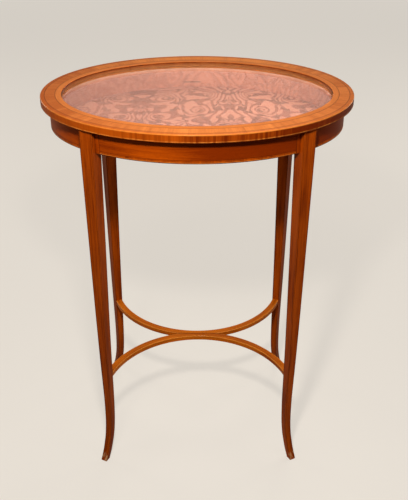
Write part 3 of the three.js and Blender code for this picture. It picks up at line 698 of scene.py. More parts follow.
def damask_pattern(make, across, up):
    """How much of a satin leaf shows, and how much of the dull ground. Veins are the even steps of a phase
    that grows away from each scroll and turns round each scroll and fan."""
    silk = table_settings().silk
    half = silk.half_repeat
    spot = make.combine(make.math("PINGPONG", make.minus(across, silk.middle), half), up)
    for fineness, reach in DAMASK_BENDS:
        inputs = {"Vector": spot, "Scale": fineness, "Detail": 0.0}
        drift = make.add("ShaderNodeTexNoise", inputs).outputs["Color"]
        drift = make.vector_math("SUBTRACT", drift, (0.5, 0.5, 0.5))
        spot = make.vector_math("ADD", spot, make.vector_math("MULTIPLY", drift, (reach, reach, 0.0)))

    def away_from(share_x, share_y):
        return make.vector_math("SUBTRACT", spot, (share_x * half, share_y * half, 0.0))

    def turned_round(away, turns, phase):
        x, y, _ = make.split(away)
        return make.times_plus(make.math("ARCTAN2", y, x), turns, phase)

    phase = 0.0
    for share_x, share_y, turns, share_radius in SCROLL_SHARES:
        away = away_from(share_x, share_y)
        reach = 1.5 * share_radius * half
        climb = make.math("TANH", make.math("DIVIDE", make.length(away), reach))
        phase = make.times_plus(climb, FULL_TURN * reach / silk.vein, phase)
        phase = turned_round(away, turns, phase)
    for share_x, share_y, leaves in FAN_SHARES:
        phase = turned_round(away_from(share_x, share_y), leaves, phase)

    wave = make.math("SINE", phase)
    other_wave = make.math("COSINE", phase)
    leaf = make.step(wave, -0.3, soft=0.5)
    ruffle = make.combine(make.times(wave, RUFFLE_REACH), make.times(other_wave, RUFFLE_REACH))
    near = make.noise(make.vector_math("ADD", spot, ruffle), 62.0, 0)
    wide = make.noise(spot, 22.0, 0)
    ground = make.step(make.times_plus(near, 0.7, make.times(wide, 0.3)), 0.565, soft=0.025)
    return leaf, ground


def wall_painted_light_and_mark(make, colour, x, y, height):
    """Paints shade on the wall's silk towards the table's ends, paints light on its top just under the
    glass, and paints a dark mark on the rear wall
    """
    table = table_settings()
    colours = table.damask
    # Painted shade: darker towards the table's ends
    end_painted_shade = make.math("POWER", make.times(make.math("ABSOLUTE", x), 1 / table.oval.half_length), 2.0)
    colour = make.cover(colour, colours.ground, end_painted_shade, 0.58)
    # Painted light: paler near the top of the wall
    lit = make.times_plus(make.minus(height, wall_high.z), 1 / table.silk.fade, 1.0, clamp=True)
    colour = make.cover(colour, colours.painted_top_light, lit, 0.6)
    # A dark horizontal mark painted on the rear wall's silk
    dark_mark = make.band(height, DARK_MARK_HEIGHT - DARK_MARK_HALF_WIDTH, DARK_MARK_HEIGHT + DARK_MARK_HALF_WIDTH, soft=1.2 * MM)
    dark_mark = make.times(dark_mark, make.band(x, DARK_MARK_START, DARK_MARK_END, soft=6 * MM))
    dark_mark = make.times(dark_mark, make.step(y, 0.0, soft=10 * MM))
    return make.cover(colour, table.wood.line_dark, dark_mark, 0.9)


def silk_damask(name, on_wall):
    """Silk damask in three tones, with its weave. On the wall it follows the oval, on the pad X and Y."""
    table = table_settings()
    colours, silk = table.damask, table.silk
    material, make, shader = new_material(name)
    x, y, _ = make.split(make.object_place())
    across, up, height = x, y, None
    if on_wall:
        across, _, height = make.stored_place()
        up = make.minus(height, wall_low.z + 60 * MM)
    contrast = 0.5 if on_wall else 1.05

    leaf, ground = damask_pattern(make, across, up)
    leaf_tone = make.between(leaf, 0.5 - contrast / 2, 0.5 + contrast / 2)
    colour = make.mix(leaf_tone, colours.vein, colours.satin)
    colour = make.cover(colour, colours.ground, ground, 0.9 * contrast)
    shade = make.noise(make.combine(across, up), 11.0, 3)
    colour = make.cover(colour, colours.vein, make.step(shade, 0.5, soft=0.5), 0.18)
    warp = make.math("SINE", make.times(across, FULL_TURN / silk.thread))
    weft = make.math("SINE", make.times(up, FULL_TURN / silk.thread))
    threads = make.times_plus(make.plus(warp, weft), 0.25, 0.5, clamp=True)
    colour = make.cover(colour, colours.ground, threads, 0.1)
    slub = make.noise(make.combine(make.times(across, 14.0), make.times(up, 900.0)), 1.0, 2)
    colour = make.cover(colour, colours.satin, make.step(slub, 0.63, soft=0.1), 0.2)

    # Painted shade: the silk darkens towards the left end
    left_painted_shade = make.times_plus(x, -1 / table.oval.half_length, 0.35, clamp=True)
    colour = make.cover(colour, colours.ground, left_painted_shade, 0.44)
    if on_wall:
        colour = wall_painted_light_and_mark(make, colour, x, y, height)
    else:
        # Painted highlight: a pale line round the pad's rim
        rim_painted_highlight = make.rest(make.step(make.attribute("from_rim").outputs["Fac"], 2.2 * MM, soft=1.5 * MM))
        colour = make.cover(colour, colours.satin, rim_painted_highlight, 0.5)
    satin = make.times(leaf, make.rest(ground))
    relief = make.times_plus(satin, 1.5, threads)
    set_finish(
        make, shader, Base_Color=colour, Roughness=make.between(satin, 0.66, 0.5), Specular_IOR_Level=0.15,
        Sheen_Weight=0.05, Sheen_Roughness=0.4, Normal=make.bump(relief, 0.3, distance=0.08 * MM))
    return material


def aged_brass():
    """Brass that is bright where it is worn by rubbing"""
    colours = table_settings().brass
    material, make, shader = new_material("aged_brass")
    spot = make.object_place()
    cloud = make.noise(spot, 260.0, 3)
    speck = make.noise(spot, 1800.0, 2)
    tone = make.times_plus(speck, 0.4, make.times(cloud, 0.7), clamp=True)
    set_finish(
        make, shader, Base_Color=make.mix(tone, colours.dull, colours.bright), Metallic=1.0,
        Roughness=make.between(tone, 0.5, 0.28), Normal=make.bump(speck, 0.15))
    return material


def clear_glass():
    """Clear glass that lets the lamps through"""
    material, make, shader = new_material("clear_glass")
    set_finish(
        make, shader, Base_Color=(0.985, 0.99, 0.985), Roughness=0.02, IOR=1.45, Transmission_Weight=1.0)
    see_through = make.add("ShaderNodeBsdfTransparent", {"Color": (0.96, 0.97, 0.96)}).outputs[0]
    is_shadow = make.add("ShaderNodeLightPath").outputs["Is Shadow Ray"]
    show_mix(make, is_shadow, shader.outputs["BSDF"], see_through)
    return material


def show_mix(make, share, first, second):
    """Makes a mix of two shaders the material's surface"""
    both = make.add("ShaderNodeMixShader", {0: share, 1: first, 2: second}).outputs[0]
    make.feed(make.tree.nodes["Material Output"].inputs["Surface"], both)


def shared_material(name, build):
    """The material called name, which is built the first time"""
    return bpy.data.materials.get(name) or build()


# Meshes

# How close points are merged, in a mesh made here and in a copy of a node's mesh
MERGE = 0.001 * MM
NODE_MERGE = 0.002 * MM
# Edges that turn by more than this are shaded sharp
SHARP_ANGLE = math.radians(32)


def link_mesh(name, mesh):
    """A new object at the origin that shows a mesh"""
    thing = bpy.data.objects.new(name, mesh)
    bpy.context.scene.collection.objects.link(thing)
    return thing


def mesh_of(name, points, faces):
    mesh = bpy.data.meshes.new(name)
    mesh.from_pydata([tuple(point) for point in points], [], [tuple(face) for face in faces])
    mesh.update()
    return mesh


def face_outwards(mesh):
    """Merges a closed mesh's doubles and points its faces outwards"""
    work = bmesh.new()
    work.from_mesh(mesh)
    bmesh.ops.remove_doubles(work, verts=work.verts, dist=MERGE)
    bmesh.ops.recalc_face_normals(work, faces=work.faces)
    work.to_mesh(mesh)
    work.free()
    mesh.update()


def settle(thing):
    """Makes the evaluated mesh the object's own, and removes the modifiers"""
    bpy.context.view_layer.update()
    graph = bpy.context.evaluated_depsgraph_get()
    mesh = bpy.data.meshes.new_from_object(thing.evaluated_get(graph))
    thing.modifiers.clear()
    thing.data = mesh


def cut_away(thing, cutters):
    """Cuts closed shapes out of a piece, and removes the shapes"""
    for cutter in cutters:
        modifier = thing.modifiers.new("cut", "BOOLEAN")
        modifier.operation = "DIFFERENCE"
        modifier.solver = "EXACT"
        modifier.object = cutter
    settle(thing)
    for cutter in cutters:
        bpy.data.objects.remove(cutter)


def keep(thing, body, material, nodes):
    """Finishes a piece: its shading, its finish, its body and the frame's nodes that it stands for"""
    mesh = thing.data
    mesh.name = thing.name
    mesh.shade_smooth()
    mesh.set_sharp_from_angle(angle=SHARP_ANGLE)
    mesh.materials.clear()
    mesh.materials.append(material)
    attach(thing, body)
    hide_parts(*nodes)


def points_of(mesh):
    flat = np.empty(len(mesh.vertices) * 3)
    mesh.vertices.foreach_get("co", flat)
    return flat.reshape(-1, 3)


def put_attribute(mesh, name, values):
    """Stores numbers, or vectors, on the mesh's points"""
    is_vector = values.ndim == 2
    layer = mesh.attributes.new(name, "FLOAT_VECTOR" if is_vector else "FLOAT", "POINT")
    flat = np.ascontiguousarray(values, np.float32).ravel()
    layer.data.foreach_set("vector" if is_vector else "value", flat)


def rounded_section(corners, arc_steps=3, support=0.4 * MM):
    """A closed outline whose corners, each written as (x, y, radius), are rounded.
    A point just past each end of a rounding keeps the flats flat when the mesh is shaded smooth."""
    points = []
    for i, (x, y, radius) in enumerate(corners):
        corner = np.array([x, y])
        before = np.array(corners[i - 1][:2]) - corner
        after = np.array(corners[(i + 1) % len(corners)][:2]) - corner
        before /= np.linalg.norm(before)
        after /= np.linalg.norm(after)
        half_angle = math.acos(np.clip(before @ after, -1, 1)) / 2
        reach = radius / math.tan(half_angle)
        points.append(corner + before * (reach + support))
        for step in range(arc_steps + 1):
            t = step / arc_steps
            points.append(corner + before * reach * (1 - t) ** 2 + after * reach * t ** 2)
        points.append(corner + after * (reach + support))
    return points


def section_mesh(name, points):
    """A section drawn as a loop of edges: X is outwards and Y is down"""
    count = len(points)
    mesh = bpy.data.meshes.new(name)
    mesh.from_pydata([(x, -y, 0) for x, y in points], [(i, (i + 1) % count) for i in range(count)], [])
    return mesh


# Geometry trees

SWEEP_INPUTS = {
    "Section": "NodeSocketGeometry",
    "Centre": "NodeSocketVector",
    "Half Length": "NodeSocketFloat",
    "Half Depth": "NodeSocketFloat",
    "Start Angle": "NodeSocketFloat",
    "End Angle": "NodeSocketFloat",
    "Steps": "NodeSocketInt",
    "Finish": "NodeSocketMaterial",
}
SCREW_INPUTS = {
    "Places": "NodeSocketGeometry",
    "Head Radius": "NodeSocketFloat",
    "Head Depth": "NodeSocketFloat",
    "Shank Radius": "NodeSocketFloat",
    "Length": "NodeSocketFloat",
    "Slot Width": "NodeSocketFloat",
    "Slot Depth": "NodeSocketFloat",
    "Finish": "NodeSocketMaterial",
}


def new_geometry_tree(name, inputs):
    """An empty tree with named inputs, and what is needed to add to it"""
    tree = bpy.data.node_groups.new(name, "GeometryNodeTree")
    for label, kind in inputs.items():
        tree.interface.new_socket(label, in_out="INPUT", socket_type=kind)
    tree.interface.new_socket("Mesh", in_out="OUTPUT", socket_type="NodeSocketGeometry")
    make = NodeMaker(tree)
    return tree, make, make.add("NodeGroupInput").outputs


def finish_tree(make, geometry, material):
    """Ends a tree: instances made real, and one finish"""
    real = make.add("GeometryNodeRealizeInstances", {"Geometry": geometry}).outputs[0]
    done = make.add("GeometryNodeSetMaterial", {"Geometry": real, "Material": material}).outputs[0]
    make.add("NodeGroupOutput", {0: done})


def run_tree(thing, name, build, values):
    """Runs a tree on an object, with its inputs set by their sockets' identifiers, and keeps the result"""
    modifier = thing.modifiers.new(name, "NODES")
    modifier.node_group = bpy.data.node_groups.get(name) or build(name)
    for item in modifier.node_group.interface.items_tree:
        if item.in_out == "INPUT" and item.name in values:
            modifier[item.identifier] = values[item.name]
    settle(thing)


def arc_sweep_tree(name):
    """A tree that sweeps the section drawn by the mesh's edges along a stretch of a level oval"""
    tree, make, given = new_geometry_tree(name, SWEEP_INPUTS)
    length, depth = given["Half Length"], given["Half Depth"]
    line = make.add("GeometryNodeCurvePrimitiveLine").outputs["Curve"]
    inputs = {"Curve": line, "Count": make.plus(given["Steps"], 1.0)}
    line = make.add("GeometryNodeResampleCurve", inputs, mode="COUNT").outputs["Curve"]
    share = make.math("DIVIDE", make.add("GeometryNodeInputIndex").outputs["Index"], given["Steps"])
    angle = make.between(share, given["Start Angle"], given["End Angle"])
    cosine = make.math("COSINE", angle)
    sine = make.math("SINE", angle)
    place = make.combine(make.times(cosine, length), make.times(sine, depth))
    inputs = {"Geometry": line, "Position": make.vector_math("ADD", place, given["Centre"])}
    path = make.add("GeometryNodeSetPosition", inputs).outputs["Geometry"]
    inputs = {"Curve": path, "Normal": make.combine(make.times(cosine, depth), make.times(sine, length))}
    path = make.add("GeometryNodeSetCurveNormal", inputs, mode="FREE").outputs["Curve"]
    section = make.add("GeometryNodeMeshToCurve", {"Mesh": given["Section"]}).outputs["Curve"]
    inputs = {"Curve": path, "Profile Curve": section, "Fill Caps": True}
    finish_tree(make, make.add("GeometryNodeCurveToMesh", inputs).outputs["Mesh"], given["Finish"])
    return tree


# Flats round a screw, the radius of its point, and the seed that turns the slots
SCREW_FLATS = 32
SCREW_TIP = 0.1 * MM
SCREW_SPIN_SEED = 7


def screw_tree(name):
    """A tree that puts a slotted countersunk screw at each point, its head facing along the attribute
    called facing"""
    tree, make, given = new_geometry_tree(name, SCREW_INPUTS)
    head, neck = given["Head Radius"], given["Head Depth"]
    shank, length = given["Shank Radius"], given["Length"]

    def cone(top, bottom, height, depth):
        """A cone, the given height, that starts at a depth below the head's top"""
        inputs = {"Vertices": SCREW_FLATS, "Radius Top": top, "Radius Bottom": bottom, "Depth": height}
        mesh = make.add("GeometryNodeMeshCone", inputs).outputs["Mesh"]
        shift = make.combine(0.0, 0.0, make.times(depth, -1.0))
        return make.add("GeometryNodeTransform", {"Geometry": mesh, "Translation": shift}).outputs[0]

    def boolean(operation, first, others):
        inputs = {} if first is None else {"Mesh 1": first}
        node = make.add("GeometryNodeMeshBoolean", inputs, operation=operation, solver="EXACT")
        for other in others:
            make.tree.links.new(other, node.inputs["Mesh 2"])
        return node.outputs["Mesh"]

    tip = make.times(shank, 2.0)
    body = make.minus(length, tip)
    whole = boolean("UNION", None, (
        cone(head, shank, neck, neck),
        cone(shank, shank, make.minus(body, make.times(neck, 0.5)), body),
        cone(shank, SCREW_TIP, tip, length),
    ))
    size = make.combine(make.times(head, 3.0), given["Slot Width"], make.times(given["Slot Depth"], 2.0))
    slot = make.add("GeometryNodeMeshCube", {"Size": size}).outputs["Mesh"]
    slotted = boolean("DIFFERENCE", whole, (slot,))

    attribute = make.add("GeometryNodeInputNamedAttribute", {"Name": "facing"}, data_type="FLOAT_VECTOR")
    inputs = {"Vector": attribute.outputs["Attribute"]}
    upright = make.add("FunctionNodeAlignRotationToVector", inputs, axis="Z").outputs["Rotation"]
    random = make.add("FunctionNodeRandomValue", data_type="FLOAT")
    limits = {"Min": 0.0, "Max": math.pi, "Seed": SCREW_SPIN_SEED}
    for socket in random.inputs:
        if socket.enabled and socket.name in limits:
            socket.default_value = limits[socket.name]
    inputs = {"Axis": (0, 0, 1), "Angle": next(socket for socket in random.outputs if socket.enabled)}
    spin = make.add("FunctionNodeAxisAngleToRotation", inputs).outputs["Rotation"]
    inputs = {"Rotation": upright, "Rotate By": spin}
    turned = make.add("FunctionNodeRotateRotation", inputs, rotation_space="LOCAL").outputs[0]
    inputs = {"Points": given["Places"], "Instance": slotted, "Rotation": turned}
    finish_tree(make, make.add("GeometryNodeInstanceOnPoints", inputs).outputs["Instances"], given["Finish"])
    return tree


def sweep_arc(name, section, centre, half_sizes, angles, steps, material):
    """Sweeps a section along a stretch of an oval, and returns it as a closed mesh"""
    thing = link_mesh(name, section_mesh(name, section))
    run_tree(thing, "Arc Sweep", arc_sweep_tree, {
        "Centre": centre, "Half Length": half_sizes[0], "Half Depth": half_sizes[1],
        "Start Angle": angles[0], "End Angle": angles[1], "Steps": steps, "Finish": material,
    })
    face_outwards(thing.data)
    return thing


# The oval

# Rounds in which a point's angle on the oval is refined, and samples that measure the way along it
ANGLE_ROUNDS, WAY_SAMPLES = 8, 3001


def oval_point(angle, offset):
    """Points on the oval, moved inwards from the lid's outline by an offset"""
    oval = table_settings().oval
    cosine, sine = np.cos(angle), np.sin(angle)
    size = np.hypot(oval.half_depth * cosine, oval.half_length * sine)
    x = oval.half_length * cosine - offset * oval.half_depth * cosine / size
    y = oval.half_depth * sine - offset * oval.half_length * sine / size
    return x, y


def oval_round(inset=0.0):
    """The length of the oval's outline, moved inwards by an inset"""
    oval = table_settings().oval
    a, b = oval.half_length - inset, oval.half_depth - inset
    return math.pi * (3 * (a + b) - math.sqrt((3 * a + b) * (a + 3 * b)))


def oval_stretches():
    """The stretches of the oval between the legs: name, middle angle and half of the span"""
    leg = table_settings().oval.leg_angle
    quarter = math.pi / 2
    return [
        (name, i * quarter, leg if i % 2 == 0 else quarter - leg)
        for i, name in enumerate(("right", "rear", "left", "front"))
    ]


def oval_places(points, middle):
    """For each point: how far along the outline it lies, how far in from it, and its height"""
    oval = table_settings().oval
    a, b = oval.half_length, oval.half_depth
    x, y, z = points.T
    angle = np.arctan2(y / b, x / a)
    for _ in range(ANGLE_ROUNDS):
        cosine, sine = np.cos(angle), np.sin(angle)
        slope = (x - a * cosine) * (-a * sine) + (y - b * sine) * (b * cosine)
        bend = (a * a - b * b) * (cosine ** 2 - sine ** 2) - a * cosine * x - b * sine * y
        angle -= slope / bend
    cosine, sine = np.cos(angle), np.sin(angle)
    offset = ((a * cosine - x) * b * cosine + (b * sine - y) * a * sine) / np.hypot(b * cosine, a * sine)
    turned = middle + (angle - middle + math.pi) % FULL_TURN - math.pi
    fine = np.linspace(-FULL_TURN, 2 * FULL_TURN, WAY_SAMPLES)
    speed = np.hypot(a * np.sin(fine), b * np.cos(fine))
    length = np.concatenate([[0], np.cumsum((speed[1:] + speed[:-1]) / 2 * np.diff(fine))])
    return np.column_stack([np.interp(turned, fine, length), offset, z])


def mark_places(mesh, middle):
    """Stores each point's place on the oval, and how far it is from the nearer end of its stretch"""
    places = oval_places(points_of(mesh), middle)
    put_attribute(mesh, "place", places)
    along = places[:, 0]
    put_attribute(mesh, "from_end", np.minimum(along - along.min(), along.max() - along))


def sweep_stretches(name, section, trim, material, cut_leaf=None):
    """Sweeps a section, written in offsets and heights, along each stretch of the lid's outline, and yields
    the stretch's name and piece. The rear one is cut for the leaf of each hinge that cut_leaf names."""
    oval = table_settings().oval
    outwards = [(-offset, height) for offset, height in section]
    for side, middle, half_span in oval_stretches():
        end = middle + half_span
        speed = math.hypot(oval.half_length * math.sin(end), oval.half_depth * math.cos(end))
        half = half_span - trim / speed
        piece = sweep_arc(
            f"{name}_{side}", outwards, (0, 0, 0), (oval.half_length, oval.half_depth),
            (middle - half, middle + half), oval.steps, material)
        if cut_leaf and side == "rear":
            cut_away(piece, hinge_recesses(cut_leaf))
        mark_places(piece.data, middle)
        yield side, piece


def oval_loft(name, rings, count, is_loop):
    """A mesh through level ovals, each written as (inset, height). In a loop the last is joined to the
    first, and otherwise a face closes each end."""
    angles = np.arange(count) / count * FULL_TURN
    points, faces = [], []
    for inset, height in rings:
        x, y = oval_point(angles, inset)
        points.extend(np.column_stack([x, y, np.full(count, height)]))
    for level in range(len(rings) if is_loop else len(rings) - 1):
        low, high = level * count, (level + 1) % len(rings) * count
        for i in range(count):
            after = (i + 1) % count
            faces.append((low + i, low + after, high + after, high + i))
    if not is_loop:
        faces.append(range(count - 1, -1, -1))
        faces.append(range((len(rings) - 1) * count, len(rings) * count))
    return mesh_of(name, points, faces)


# Hinge recesses

# Clearance of a fit, a hinge leaf's thickness, and the room round the knuckles and its flats
FIT_GAP = 0.3 * MM
LEAF_THICKNESS = 1.6 * MM
KNUCKLE_ROOM = 0.5 * MM
KNUCKLE_FLATS = 32
# How far a sweep stops short of the end of its stretch
END_TRIM = 0.05 * MM


def cutter_of(work, matrix):
    """Makes a work mesh, once moved, an object to cut with"""
    bmesh.ops.transform(work, matrix=matrix, verts=work.verts)
    mesh = bpy.data.meshes.new("cutter")
    work.to_mesh(mesh)
    work.free()
    return link_mesh("cutter", mesh)


def solid_box(low, high):
    """A box to cut with"""
    work = bmesh.new()
    bmesh.ops.create_cube(work, size=1)
    low, high = Vector(low), Vector(high)
    return cutter_of(work, Matrix.Translation((high + low) / 2) @ Matrix.Diagonal((*(high - low), 1)))


def solid_bar(radius, start_x, end_x, y, z):
    """A round bar along X to cut with"""
    work = bmesh.new()
    bmesh.ops.create_cone(
        work, cap_ends=True, segments=KNUCKLE_FLATS, radius1=radius, radius2=radius, depth=end_x - start_x)
    turn = Matrix.Rotation(math.pi / 2, 4, "Y")
    return cutter_of(work, Matrix.Translation(((start_x + end_x) / 2, y, z)) @ turn)


def hinge_recesses(leaf_name):
    """Shapes that cut the two leaves' recesses and the room for their knuckles"""
    cutters = []
    for side in ("left", "right"):
        low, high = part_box(f"{side}_hinge_{leaf_name}_leaf")
        pin_low, pin_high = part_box(f"{side}_hinge_pin")
        axis_y = (pin_low.y + pin_high.y) / 2
        axis_z = (pin_low.z + pin_high.z) / 2
        knuckle = high.y - axis_y
        if leaf_name == "lid":
            bottom, top = axis_z - 2 * knuckle, lid_low.z + LEAF_THICKNESS + FIT_GAP
        else:
            bottom, top = rail_high.z - LEAF_THICKNESS - FIT_GAP, axis_z + 2 * knuckle
        start, end = low.x - FIT_GAP, high.x + FIT_GAP
        cutters.append(solid_box((start, low.y - FIT_GAP, bottom), (end, axis_y, top)))
        cutters.append(solid_bar(knuckle + KNUCKLE_ROOM, start, end, axis_y, axis_z))
    return cutters


# Lid, rails and glass

def make_lid_frame():
    lid = table_settings().lid
    bottom, top = lid_low.z, lid_high.z
    ledge = top - lid.glass_drop
    inner = lid.width - lid.rebate
    section = rounded_section([
        (0, bottom, lid.foot), (0, top, lid.arris), (lid.width, top, 0.6 * MM),
        (lid.width, ledge, 0.2 * MM), (inner, ledge, 0.1 * MM), (inner, bottom, 0.3 * MM),
    ], arc_steps=4)
    material = lid_veneer()
    for side, piece in sweep_stretches("lid_banding", section, END_TRIM, material, cut_leaf="lid"):
        keep(piece, "lid", material, [f"lid_frame_{side}"])


def make_glazing_beads():
    lid = table_settings().lid
    outer = lid.width - lid.rebate + FIT_GAP
    section = rounded_section([
        (outer, bead_low.z, 0.1 * MM), (outer, bead_high.z, 0.1 * MM),
        (lid.width, bead_high.z, 0.2 * MM), (lid.width, bead_low.z, 0.9 * MM),
    ], support=0.2 * MM)
    material = bead_wood()
    for side, piece in sweep_stretches("glass_bead", section, END_TRIM, material):
        keep(piece, "lid", material, [f"glazing_bead_{side}"])


def make_rails():
    table = table_settings()
    rails = table.rails
    outer = table.oval.half_length - rail_high.x
    inner = outer + rails.thickness
    bottom, top = rail_low.z, rail_high.z
    ledge = bottom + rails.board_rebate
    section = rounded_section([
        (outer, bottom, rails.arris), (outer, top, rails.arris), (inner, top, rails.arris),
        (inner, ledge, 0.1 * MM), (rails.board_edge, ledge, 0.1 * MM), (rails.board_edge, bottom, 0.2 * MM),
    ])
    material = frieze_veneer()
    trim = table.legs.top_width / 2 - rails.into_leg
    for side, piece in sweep_stretches("frieze", section, trim, material, cut_leaf="case"):
        keep(piece, "stand", material, [f"{side}_rail"])


# Flats round the pane, and the softening of its edges
GLASS_FLATS = 240
GLASS_ARRIS = 0.3 * MM


def make_glass():
    outer = table_settings().oval.half_length - glass_high.x
    inner = outer + GLASS_ARRIS
    low, high = glass_low.z, glass_high.z
    rings = [(inner, low), (outer, low + GLASS_ARRIS), (outer, high - GLASS_ARRIS), (inner, high)]
    thing = link_mesh("flat_glass", oval_loft("flat_glass", rings, GLASS_FLATS, is_loop=False))
    keep(thing, "lid", clear_glass(), ["glass_pane"])


# Legs and stretchers

# The line of a leg's middle: share of the foot's rise above the floor, share of its throw outwards
LEG_LINE_SHARES = (
    (0, 1), (0.2, 0.62), (0.4, 0.35), (0.61, 0.13), (0.9, -0.02), (1.22, -0.08), (1.67, -0.1),
    (2.8, -0.03), (4, 0),
)
LEG_LINE_SAMPLES = 800
QUADRANTS = (("front_left", -1, -1), ("front_right", 1, -1), ("rear_left", -1, 1), ("rear_right", 1, 1))
# Rings up the curved part of a leg and up its straight part, and how they crowd towards the floor
CURVE_RINGS, TAPER_RINGS, RING_CROWDING = 70, 12, 1.6
# A leg's faces, and how far apart the figures of two legs, two faces and the ends lie
FACES = 4
LEG_SHIFT, FACE_SHIFT, CAP_SHIFT = 0.1, 0.9, 4.0
# What the map called lines holds on a leg's ends: a distance from the edge clear of the lines, and a face
CAP_EDGE, CAP_FACE = 0.01, 5.0
HOOP_STEPS = 120


def smooth_line(knots, samples):
    """A smooth line through the knots, as one row for each sample"""
    knots = np.array(knots, float)
    last = len(knots) - 1
    at = np.linspace(0, last, samples)
    first = np.minimum(at.astype(int), last - 1)
    t = (at - first)[:, None]
    p0, p1 = knots[np.maximum(first - 1, 0)], knots[first]
    p2, p3 = knots[first + 1], knots[np.minimum(first + 2, last)]
    v1, v2 = (p2 - p0) / 2, (p3 - p1) / 2
    return (2 * p1 - 2 * p2 + v1 + v2) * t ** 3 + (3 * p2 - 3 * p1 - 2 * v1 - v2) * t ** 2 + v1 * t + p1


def leg_width_at(height):
    legs = table_settings().legs
    heights = [0, legs.ankle_height, rail_low.z, rail_high.z]
    return np.interp(height, heights, [legs.foot_width, legs.ankle_width, legs.top_width, legs.top_width])


def leg_throw_at(height):
    legs = table_settings().legs
    line = smooth_line(LEG_LINE_SHARES, LEG_LINE_SAMPLES)
    return np.interp(height, line[:, 0] * legs.foot_rise, line[:, 1] * legs.foot_throw)


def leg_heights():
    """Heights of the leg's rings, close together in the foot"""
    legs = table_settings().legs
    curve_top = LEG_LINE_SHARES[-1][0] * legs.foot_rise
    curve = curve_top * np.linspace(0, 1, CURVE_RINGS) ** RING_CROWDING
    taper = np.linspace(curve_top, rail_low.z, TAPER_RINGS)[1:]
    return np.concatenate([curve, taper, [rail_high.z - legs.top_drop]])


def leg_place(x_side, y_side):
    """The leg's middle and its outward direction, seen from above"""
    table = table_settings()
    outer = table.oval.half_length - rail_high.x
    x, y = oval_point(table.oval.leg_angle, outer + table.legs.inset)
    out = np.array([x_side * math.sin(table.legs.turn), y_side * math.cos(table.legs.turn)])
    return np.array([x_side * x, y_side * y]), out


def leg_ring(half, arris, support=0.5 * MM):
    """One ring of the leg, as rows of across, out, place over the face, distance from the edge, and face.
    Each face has its own points at its ends, so that the figure can change from face to face."""
    rows = []
    flat = half - arris
    rounding = [flat + arris * math.sin(math.pi / parts) for parts in (4, 8)]
    half_over = rounding + [flat, flat - support]
    over = half_over + [flat * share for share in (0.6, 0, -0.6)] + [-place for place in reversed(half_over)]
    for face in range(FACES):
        turn = face * FULL_TURN / FACES
        for place in over:
            past = max(abs(place) - flat, 0)
            out = flat + math.sqrt(max(arris * arris - past * past, 0))
            across = place * math.cos(turn) - out * math.sin(turn)
            outward = place * math.sin(turn) + out * math.cos(turn)
            rows.append((across, outward, place, half - abs(place), face))
    return np.array(rows)


def leg_mesh(name, index, middle, out):
    """One leg as a closed mesh, with its grain and lines stored in maps"""
    legs = table_settings().legs
    heights = leg_heights()
    rings = [leg_ring(width / 2, legs.arris) for width in leg_width_at(heights)]
    count = len(rings[0])
    per_face = count // FACES
    has_face = [i for i in range(count) if i % per_face != per_face - 1]
    across = np.array([out[1], -out[0]])
    points, faces, grain, lines = [], [], [], []
    for ring, height, throw in zip(rings, heights, leg_throw_at(heights)):
        flat = middle + np.outer(ring[:, 0], across) + np.outer(ring[:, 1] + throw, out)
        points.extend(np.column_stack([flat, np.full(count, height)]))
    for low in range(0, (len(heights) - 1) * count, count):
        faces += [(low + i, low + i + 1, low + count + i + 1, low + count + i) for i in has_face]
    for corner in (corner for face in faces for corner in face):
        level, i = divmod(corner, count)
        _, _, place, from_edge, face_number = rings[level][i]
        grain.append((place + LEG_SHIFT * index, heights[level] + FACE_SHIFT * face_number))
        lines.append((from_edge, face_number + FACES * index))
    top = (len(heights) - 1) * count
    caps = [has_face, [top + i for i in has_face]]
    for corner in caps[0] + caps[1]:
        level, i = divmod(corner, count)
        grain.append((rings[level][i][0] + LEG_SHIFT * index, rings[level][i][1] + CAP_SHIFT))
        lines.append((CAP_EDGE, CAP_FACE + FACES * index))
    mesh = mesh_of(name, points, faces + caps)
    for layer_name, values in (("grain", grain), ("lines", lines)):
        layer = mesh.uv_layers.new(name=layer_name)
        layer.data.foreach_set("uv", np.array(values, np.float32).ravel())
    face_outwards(mesh)
    return mesh


def make_legs():
    material = leg_wood()
    for index, (corner, x_side, y_side) in enumerate(QUADRANTS):
        name = f"{corner}_leg_polished"
        thing = link_mesh(name, leg_mesh(name, index, *leg_place(x_side, y_side)))
        keep(thing, "stand", material, [f"{corner}_leg"])


def make_stretchers():
    hoop = table_settings().stretchers
    material = stretcher_wood()
    middle, out = leg_place(1, 1)
    seat = middle - out * (leg_width_at(hoop.height) / 2 - leg_throw_at(hoop.height))
    waist = hoop.half_waist - hoop.width / 2
    rise = seat[1] - waist
    radius = (seat[0] ** 2 + rise ** 2) / (2 * rise)
    half_angle = math.atan2(seat[0], radius - rise) + hoop.into_leg / radius
    half_width, low = hoop.width / 2, hoop.height - hoop.thickness / 2
    high = low + hoop.thickness
    corners = ((-half_width, low), (-half_width, high), (half_width, high), (half_width, low))
    section = rounded_section([(*corner, hoop.arris) for corner in corners])
    for name, side in (("front", -1), ("rear", 1)):
        centre_y = side * (waist + radius)
        towards = -side * math.pi / 2
        angles = (towards - half_angle, towards + half_angle)
        piece = sweep_arc(
            f"{name}_hoop", section, (0, centre_y, 0), (radius, radius), angles, HOOP_STEPS, material)
        points = points_of(piece.data)
        points[:, 1] = side * np.maximum(side * points[:, 1], hoop.half_gap)
        piece.data.vertices.foreach_set("co", points.ravel())
        angle = np.arctan2(points[:, 0], side * (centre_y - points[:, 1]))
        across = np.hypot(points[:, 0], points[:, 1] - centre_y) - radius + side * HOOP_SHIFT
        put_attribute(piece.data, "place", np.column_stack([angle * radius, across, points[:, 2]]))
        keep(piece, "stand", material, [f"{name}_stretcher"])


# Silk

